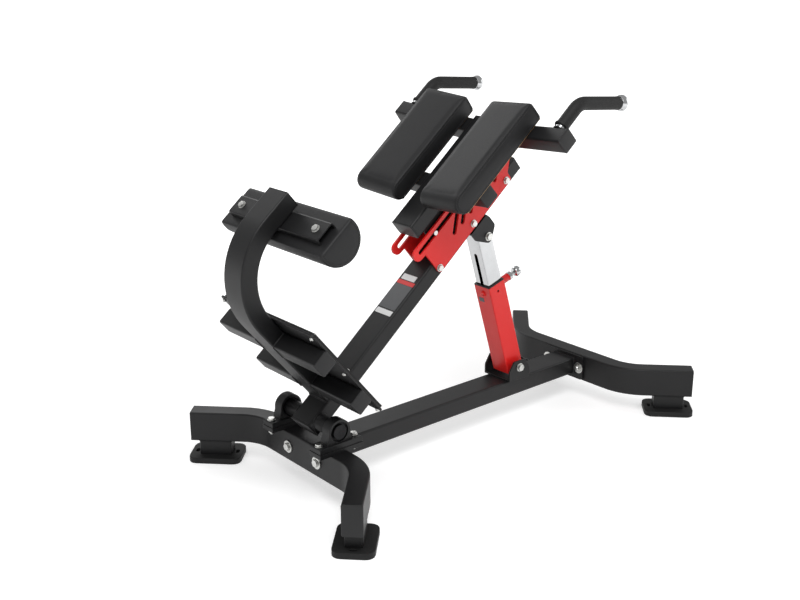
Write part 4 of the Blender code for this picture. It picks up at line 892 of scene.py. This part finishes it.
# %% Bearing rings, shaft, barrel and pin
LIE_ACROSS = facing((0, 0, 0), (0, 1, 0), (1, 0, 0))
INSERT_HALF = (
    (0.0252, 0.0100), (0.0228, 0.0100), (0.0220, 0.0088), (0.0184, 0.0088), (0.0178, 0.0112),
    (0.0128, 0.0112),
)
SHAFT_HALF = (
    (0, 0.1150), (0.0120, 0.1150), (0.0135, 0.1158), (0.0190, 0.1158), (0.0196, 0.1118), (0.0125, 0.1118),
)
BARREL = ((0.0120, 0), (0.0120, 0.0105), (0.0053, 0.0105), (0.0053, 0))
BARREL_X = 0.06905
LATCH_S = 0.248
PIN_PROFILE = (
    (0, 0.0900), (0.0050, 0.0898), (0.0100, 0.0884), (0.0132, 0.0856), (0.0145, 0.0816), (0.0145, 0.0735),
    (0.0130, 0.0700), (0.0090, 0.0674), (0.0060, 0.0665), (0.0050, 0.0660), (0.0050, 0), (0, 0),
)


def mirrored(half):
    return list(half) + [(radius, -height) for radius, height in reversed(half)]


stand_in("pivot_shaft", turned(mirrored(SHAFT_HALF)), at(*PIVOT) @ LIE_ACROSS)
for name, side in SIDES:
    place = at(PIVOT.x, side * BLOCK_Y, PIVOT.z) @ LIE_ACROSS
    stand_in("bearing_insert_" + name, turned(mirrored(INSERT_HALF), 0.0004), place)
latch_axis = STRUT @ at(0, 0, LATCH_S)
latch_out = facing((0, 0, 0), (1, 0, 0))
stand_in("latch_barrel", turned(BARREL), latch_axis @ at(BARREL_X, 0, 0) @ latch_out)
pin_xs = [(STRUT.inverted() @ vert.co).x for vert in frame["nodes"]["pull_pin"].data.vertices]
pin_tip, pin_end = min(pin_xs), max(pin_xs)
stretch = Matrix.Diagonal((1, 1, (pin_end - pin_tip) / PIN_PROFILE[0][1], 1))
stand_in("pull_pin", turned(PIN_PROFILE), latch_axis @ at(pin_tip, 0, 0) @ latch_out @ stretch)
print("pull pin:", round(pin_tip, 4), "to", round(pin_end, 4))

# %% [markdown]
# ## Stuffing a cushion
# A real pad is foam under tight vinyl. It starts slightly smaller than it ends, is remeshed to an even net,
# and blown up a little as cloth, while the face that lies on its board is held. Only the outward part of the
# swell is kept, and it's limited softly, so the middle crowns and the rims stay where they were sewn. One
# subdivision rounds the result.

# %% Cushions
SWELL_FRAMES = 20
PRESSURE = 1.2
NET_M = 0.004


def netted(mesh):
    """Remeshes a shape to an even net and evens out its steps."""
    shape = in_scene("net", mesh)
    modify(shape, "net", "REMESH", mode="VOXEL", voxel_size=NET_M)
    modify(shape, "even", "SMOOTH", factor=0.5, iterations=2)
    return applied(shape)


def stuffed(name, bm, held, swell):
    """Swells a shape as cloth under pressure, with the points for which held is true kept in place."""
    mesh = new_mesh(name, bm)
    mesh = netted(mesh)
    shape = in_scene(name, mesh)
    group = shape.vertex_groups.new(name="held")
    group.add([vert.index for vert in mesh.vertices if held(vert.co)], 1.0, "REPLACE")
    before = [(vert.co.copy(), vert.normal.copy()) for vert in mesh.vertices]
    cloth = modify(shape, "swell", "CLOTH")
    tune(cloth.settings, quality=4, use_pressure=True, uniform_pressure_force=PRESSURE)
    cloth.settings.effector_weights.gravity = 0
    cloth.settings.vertex_group_mass = "held"
    cloth.collision_settings.use_collision = False
    tune(cloth.point_cache, frame_start=1, frame_end=SWELL_FRAMES)
    for number in range(1, SWELL_FRAMES + 1):
        bpy.context.scene.frame_set(number)
    made = applied(shape)
    bpy.context.scene.frame_set(1)
    for vert, (start, outward) in zip(made.vertices, before):
        bulge = max((vert.co - start).dot(outward), 0)
        vert.co = start + outward * swell * math.tanh(bulge / swell)
    return made


def rounded_up(piece):
    """One subdivision, and smooth shading all over."""
    modify(piece, "rounded_up", "SUBSURF", levels=1, render_levels=1)
    piece.data.shade_smooth()
    return piece


def surface_of(mesh):
    faces = [polygon.vertices for polygon in mesh.polygons]
    return BVHTree.FromPolygons([vert.co for vert in mesh.vertices], faces)


# %% [markdown]
# ## Thigh pads
# Each pad has one strip of vinyl over its top and round its nose, sewn to two side panels. Where they join,
# the cut edges are turned inwards and make a welt: two fine ridges with stitches between them, that follow
# the panel's outline a few millimetres in. Rays cast straight in from the side lay them on the swollen pad.

# %% Pads
PAD_U = 0.7281
PAD_LENGTH = 0.3388
PAD_IN_Y = 0.0546
PAD_W = 0.1433
PAD_T = 0.057
PAD_CORNER = 0.009
PAD_SEAT = 0.0228
PAD_LIFT = 0.0003
PAD_SWELL = 0.0024
SLACK = 0.0008
WELT_R = 0.0009
WELT_SINK = -0.0002
WELT_STEP = 0.006
WELT_INSETS = (0.0035, 0.0085)
SEAM_INSET = 0.0060
STITCH_R = 0.0004
STITCH = 0.0035
STITCH_PITCH = 0.007


def side_panel(inset):
    """Side view of a pad in XZ, drawn in by an inset: a full round nose and small radii at the back."""
    bm, corners = flat_sheet(PAD_LENGTH - 2 * inset, PAD_T - 2 * inset)
    nose = [vert for vert in corners if vert.co.x < 0]
    heel = [vert for vert in corners if vert.co.x > 0]
    round_off(bm, nose, PAD_T / 2 - inset - 0.0002, 12)
    round_off(bm, heel, PAD_CORNER - inset / 2, 5)
    bmesh.ops.transform(bm, matrix=at(0, 0, PAD_T / 2) @ Matrix.Rotation(math.pi / 2, 4, "X"), verts=bm.verts)
    return bm


def pad_start():
    """The pad before stuffing, with its middle over the origin and its underside just above Z = 0."""
    bm = side_panel(SLACK)
    width = PAD_W - 2 * SLACK
    made = bmesh.ops.extrude_edge_only(bm, edges=bm.edges[:])["geom"]
    bmesh.ops.translate(bm, vec=(0, width, 0), verts=only(bmesh.types.BMVert, made))
    bmesh.ops.edgeloop_fill(bm, edges=only(bmesh.types.BMEdge, made))
    bmesh.ops.translate(bm, vec=(0, -width / 2, 0), verts=bm.verts)
    return ease_edges(bm, 0.0036, 3, above=0.002)


def laid_on(surface, path, axis, lift=0.0):
    """Drops points onto a surface along an axis, and lifts them by a little."""
    made = []
    for point in path:
        found = surface.ray_cast(point + axis * 0.2, -axis)[0]
        made.append((found if found else point) + axis * lift)
    return made


def panel_line(inset):
    return spaced(rim_path(side_panel(inset)), WELT_STEP)


def stitch_paths(path):
    """Short runs along a path, a pitch apart."""
    dense = spaced(path, STITCH)
    skip = max(2, round(STITCH_PITCH / STITCH))
    return [[dense[index], dense[(index + 1) % len(dense)]] for index in range(0, len(dense) - 1, skip)]


pad_mesh = stuffed("thigh_pad", pad_start(), lambda place: place.z < SLACK + 0.002, PAD_SWELL)
pad_mesh.transform(at(0, 0, PAD_LIFT - SLACK))
pad_surface = surface_of(pad_mesh)
welts = []
stitches = []
for side in (1, -1):
    for inset in WELT_INSETS:
        welts.append(laid_on(pad_surface, panel_line(inset), ACROSS * side, WELT_SINK))
    stitches += stitch_paths(laid_on(pad_surface, panel_line(SEAM_INSET), ACROSS * side))
welt_mesh = cord_mesh("pad_welt", welts, WELT_R)
stitch_mesh = cord_mesh("pad_stitches", stitches, STITCH_R, closed=False, sides=1)
for name, side in SIDES:
    lay = rail_plane(side) @ at(PAD_U, side * (PAD_IN_Y + PAD_W / 2), PAD_SEAT)
    node = "thigh_pad_" + name
    cushion = pad_mesh.copy()
    cushion.transform(lay)
    pad = rounded_up(show(node + "_made", cushion, "black_vinyl", "pad_carriage", node))
    for label, mesh in (("welt", welt_mesh), ("stitches", stitch_mesh)):
        trim = mesh.copy()
        trim.transform(lay)
        show("pad_" + label + "_" + name, trim, "black_vinyl", "pad_carriage")
        if label == "stitches":
            trim.materials[0] = THREAD
print("pad points:", len(pad_mesh.vertices), "stitches a pad:", len(stitches))

# %% [markdown]
# ## Foot roller
# The roller is a foam log with a flat back, where it lies under its steel pan. It's turned, cut flat by a
# plane, and stuffed as the pads were. A welt runs round each end.

# %% Roller
ROLLER_R = 0.0592
ROLLER_LENGTH = 0.409
ROLLER_FLAT = 0.0175
ROLLER_U = 0.278
ROLLER_N = 0.418
ROLLER_SLACK = 0.0008
ROLLER_SWELL = 0.0018
RING_INSETS = (0.0040, 0.0090)
RING_STEPS = 60

outer = ROLLER_R - ROLLER_SLACK
half = ROLLER_LENGTH / 2 - ROLLER_SLACK
log = rod(outer, -half, half, 0.004, 64)
bmesh.ops.transform(log, matrix=LIE_ACROSS, verts=log.verts)
flat = bmesh.ops.bisect_plane(
    log, geom=all_of(log), plane_co=(0, 0, ROLLER_FLAT), plane_no=(0, 0, 1), clear_outer=True
)
bmesh.ops.edgeloop_fill(log, edges=only(bmesh.types.BMEdge, flat["geom_cut"]))
roller_mesh = stuffed("foot_roller", log, lambda place: place.z > ROLLER_FLAT - 0.003, ROLLER_SWELL)
roller_high = max(vert.co.z for vert in roller_mesh.vertices)
roller_mesh.transform(at(0, 0, ROLLER_FLAT - roller_high))
roller_surface = surface_of(roller_mesh)
flat_angle = math.asin((ROLLER_FLAT - 0.004) / (ROLLER_R - 0.005))
rings = []
for side in (1, -1):
    for ring_r in (ROLLER_R - inset for inset in RING_INSETS):
        sweep = math.pi + 2 * flat_angle
        turns = [math.pi - flat_angle + sweep * step / RING_STEPS for step in range(RING_STEPS + 1)]
        ring = [Vector((ring_r * math.cos(turn), side * 0.1, ring_r * math.sin(turn))) for turn in turns]
        rings.append(laid_on(roller_surface, ring, ACROSS * side, WELT_SINK))
roller_lay = BEAM @ at(ROLLER_U, 0, ROLLER_N)
roller_mesh.transform(roller_lay)
roller = rounded_up(show("foot_roller_made", roller_mesh, "black_vinyl", "main_beam", "foot_roller"))
ring_mesh = cord_mesh("roller_welt", rings, WELT_R, closed=False)
ring_mesh.transform(roller_lay)
show("roller_welts", ring_mesh, "black_vinyl", "main_beam")
print("roller points:", len(roller_mesh.vertices))

# %% [markdown]
# ## Foot plate screws and mat ribs
# The mat's user side is ribbed so shoes don't slip. Each rib is a low bar with eased edges. Six screws with
# pan heads go through mat and plate, and have nuts behind.

# %% Ribs and screws
MAT_FACE_U = 0.1016
PLATE_BACK_U = 0.0908
RIB = (0.0016, 0.344, 0.0042)
RIB_PITCH = 0.0085
RIB_LOW = 0.034
RIB_TOP = 0.298
SCREW_Y = 0.180
SCREW_R = 0.003
SCREW_RISES = (0.009, 0.1591, 0.2975)
PAN_HEAD = ((0, 0.0024), (0.0026, 0.0023), (0.0044, 0.0016), (0.0052, 0.0004), (0.0052, 0), (0, 0))

ribs = bmesh.new()
count = int((RIB_TOP - RIB_LOW) / RIB_PITCH) + 1
for index in range(count):
    add_shape(ribs, block(RIB, 0.0006), at(MAT_FACE_U + 0.0006, 0, RIB_LOW + index * RIB_PITCH))
add_trim("foot_mat_ribs", ribs, BEAM, "black_rubber", "main_beam")
for side_name, side in SIDES:
    for index, rise in enumerate(SCREW_RISES):
        screw = bmesh.new()
        front = facing((MAT_FACE_U, side * SCREW_Y, rise), (1, 0, 0))
        rear = facing((PLATE_BACK_U, side * SCREW_Y, rise), (-1, 0, 0))
        add_shape(screw, turned(PAN_HEAD, 0.0002, 32), front)
        add_shape(screw, rod(0.9 * SCREW_R, -0.010, 0, steps=20), front)
        add_shape(screw, hexagon(SCREW_R, 0.0042, 0), rear)
        add_shape(screw, thread(SCREW_R, 0, 0.0062, 0.0008), rear)
        add_trim("plate_screw_" + side_name + "_" + str(index + 1), screw, BEAM, "bright_zinc", "main_beam")
print("ribs:", count, "screws:", 2 * len(SCREW_RISES))

# %% [markdown]
# ## Pad bolts
# The pads are held from below by two bolts through each crossbar, with their heads and washers under the bar.

# %% Pad bolts
PAD_BOLT_PITCH = 0.056
pad_bolt_ys = [PAD_IN_Y + (PAD_W - PAD_BOLT_PITCH) / 2, PAD_IN_Y + (PAD_W + PAD_BOLT_PITCH) / 2]
for name, side in SIDES:
    for rail, u, _ in RAILS:
        for index, y in enumerate(pad_bolt_ys):
            seat = rail_plane(side) @ facing((u, side * y, -TUBE_D / 2), (0, 0, -1), (1, 0, 0))
            shape = bolt_shape(0.004, 0.050, 0.0052, 0.0052, 0.009, 0.0014, False)
            bolt_name = "pad_bolt_" + rail + "_" + name + "_" + str(index + 1)
            add_trim(bolt_name, shape, seat, "bright_zinc", "pad_carriage")
print("pad bolts at Y:", [round(y, 4) for y in pad_bolt_ys])

# %% [markdown]
# ## Stop screw
# A screw through a small round boss, near the top of the strut's front face, runs in the slot of the inner
# tube and keeps it from being pulled out. The boss is painted with the strut.

# %% Stop screw on the strut
STRUT_FACE = 0.030
BOSS_PROFILE = (
    (0, 0.0042), (0.0034, 0.0042), (0.0040, 0.0050), (0.0070, 0.0046), (0.0082, 0.0030), (0.0085, -0.001),
    (0, -0.001),
)
boss_lay = STRUT @ facing((-STRUT_FACE, 0, LATCH_S), (-1, 0, 0))
add_trim("stop_screw_boss", turned(BOSS_PROFILE, 0.0003), boss_lay, "red_powder_coat", "strut_outer")
print("boss diameter:", 2000 * max(radius for radius, _ in BOSS_PROFILE), "mm")

# %% [markdown]
# ## Bare labels
# A bench like this carries a set of film labels. They're left blank here: on the beam a pale strip, a grey
# panel, a red band and a second pale strip, and on the strut a small grey one. Each is a rounded sheet of
# self-adhesive film, a third of a millimetre proud.


# %% Film labels
def printed_film(name, colour, worn):
    made, tree, place = new_material(name)
    cloud = noise(tree, place, 14, 4.0)
    return finish_material(made, blend_of(tree, cloud, colour, worn), spread_of(tree, cloud, 0.30, 0.42))


FILM_T = 0.0003
FILMS = {
    "pale": printed_film("pale_vinyl_film", "#d9d9d9", "#cfcfcf"),
    "grey": printed_film("grey_vinyl_film", "#4b4c4e", "#454648"),
    "red": printed_film("red_vinyl_film", "#c92a29", "#bf2524"),
}
LABELS = (
    ("pale", 0.315, 0.330, -0.030, 0.030),
    ("grey", 0.334, 0.411, -0.031, 0.031),
    ("red", 0.4115, 0.4235, -0.032, 0.032),
    ("pale", 0.426, 0.443, -0.024, 0.027),
)


def film_label(name, film, width, length, place, body):
    sheet = drawn(boxed_end(width, length, 0.0015), [Vector((0, 0, FILM_T))])
    made = in_scene(name, new_mesh(name, sheet, place))
    made.data.materials.append(FILMS[film])
    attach(made, body)


for index, (film, low, high, near, far) in enumerate(LABELS):
    place = BEAM @ at((low + high) / 2, (near + far) / 2, BEAM_TOP)
    film_label("beam_label_" + str(index + 1), film, high - low, far - near, place, "main_beam")
sticker_lay = STRUT @ facing((-STRUT_FACE, 0.011, 0.2265), (-1, 0, 0), (0, 0, 1))
film_label("strut_label", "grey", 0.013, 0.020, sticker_lay, "strut_outer")
print("labels:", len(LABELS) + 1)

# %% [markdown]
# ## Laying the weld beads
# All the welds noted above are laid now, one mesh for each body. The bead is as wide as a 3 mm fillet, is
# painted with the frame, and swells a little with each dab of the torch.

# %% Weld beads
BEAD_R = 0.0021
FLANGE_T = 0.0063
LATCH_BOSS_R = 0.0110
PIVOT_SLEEVE_R = 0.0213

for x, outward in ((-0.44162, 1), (0.47738, -1)):
    place = facing((x + outward * FLANGE_T, 0, LEG_Z), (outward, 0, 0))
    weld("base", boxed_end(BASE_W, BASE_D), place)
weld("strut_outer", round_end(LATCH_BOSS_R), latch_axis @ at(STRUT_FACE, 0, 0) @ latch_out)
for side in (1, -1):
    place = at(PIVOT.x, side * TUBE_W / 2, PIVOT.z) @ LIE_ACROSS
    weld("main_beam", round_end(PIVOT_SLEEVE_R), place)
for body, paths in weld_paths.items():
    finish = "red_powder_coat" if body == "strut_outer" else "black_powder_coat"
    name = "weld_beads_" + body
    show(name, cord_mesh(name, paths, BEAD_R, ripple=0.10, sides=2), finish, body)
print("weld beads:", sum(len(paths) for paths in weld_paths.values()))

# %% [markdown]
# ## The rest of the frame
# The other solids keep their CAD shapes. Each skin arrives as loose triangles, so it's copied, its doubles
# are merged and its flat faces joined again. Then its edges are rounded: cast iron and wood more than
# folded steel.

# %% Finished copies of the CAD solids
FLAT_ANGLE = math.radians(0.5)
CUT_ANGLE = math.radians(40)
EDGES_MM = {
    "pillow_block": 1.5, "sole": 2.0, "pad_board": 2.0, "foot_plate": 0.8, "foot_mat": 1.0,
    "roller_bracket": 0.5, "adjuster_plate": 0.6, "strut_foot_bracket": 0.6, "strut_head_bracket": 0.6,
    "strut_guide_sleeve": 0.5, "lock_rod": 0.4, "slide_pin": 0.4,
}


def finished(node):
    """Copies a CAD solid as one clean skin with rounded edges, and stands it in for the solid."""
    bm = bmesh.new()
    bm.from_mesh(frame["nodes"][node].data)
    bmesh.ops.remove_doubles(bm, verts=bm.verts, dist=SAME_POINT)
    bmesh.ops.dissolve_limit(bm, angle_limit=FLAT_ANGLE, verts=bm.verts, edges=bm.edges)
    made = show(node + "_skin", new_mesh(node, bm), slot_of[node], body_of[node], node)
    for kind in filter(node.startswith, EDGES_MM):
        edge = modify(made, "edges", "BEVEL", width=EDGES_MM[kind] / 1000, segments=2)
        tune(edge, limit_method="ANGLE", angle_limit=CUT_ANGLE)
    even_shading(made)


kept = [node for node in frame["nodes"] if node not in REBUILT]
for node in kept:
    finished(node)
print("rebuilt:", len(frame["nodes"]) - len(kept), "finished copies:", len(kept))
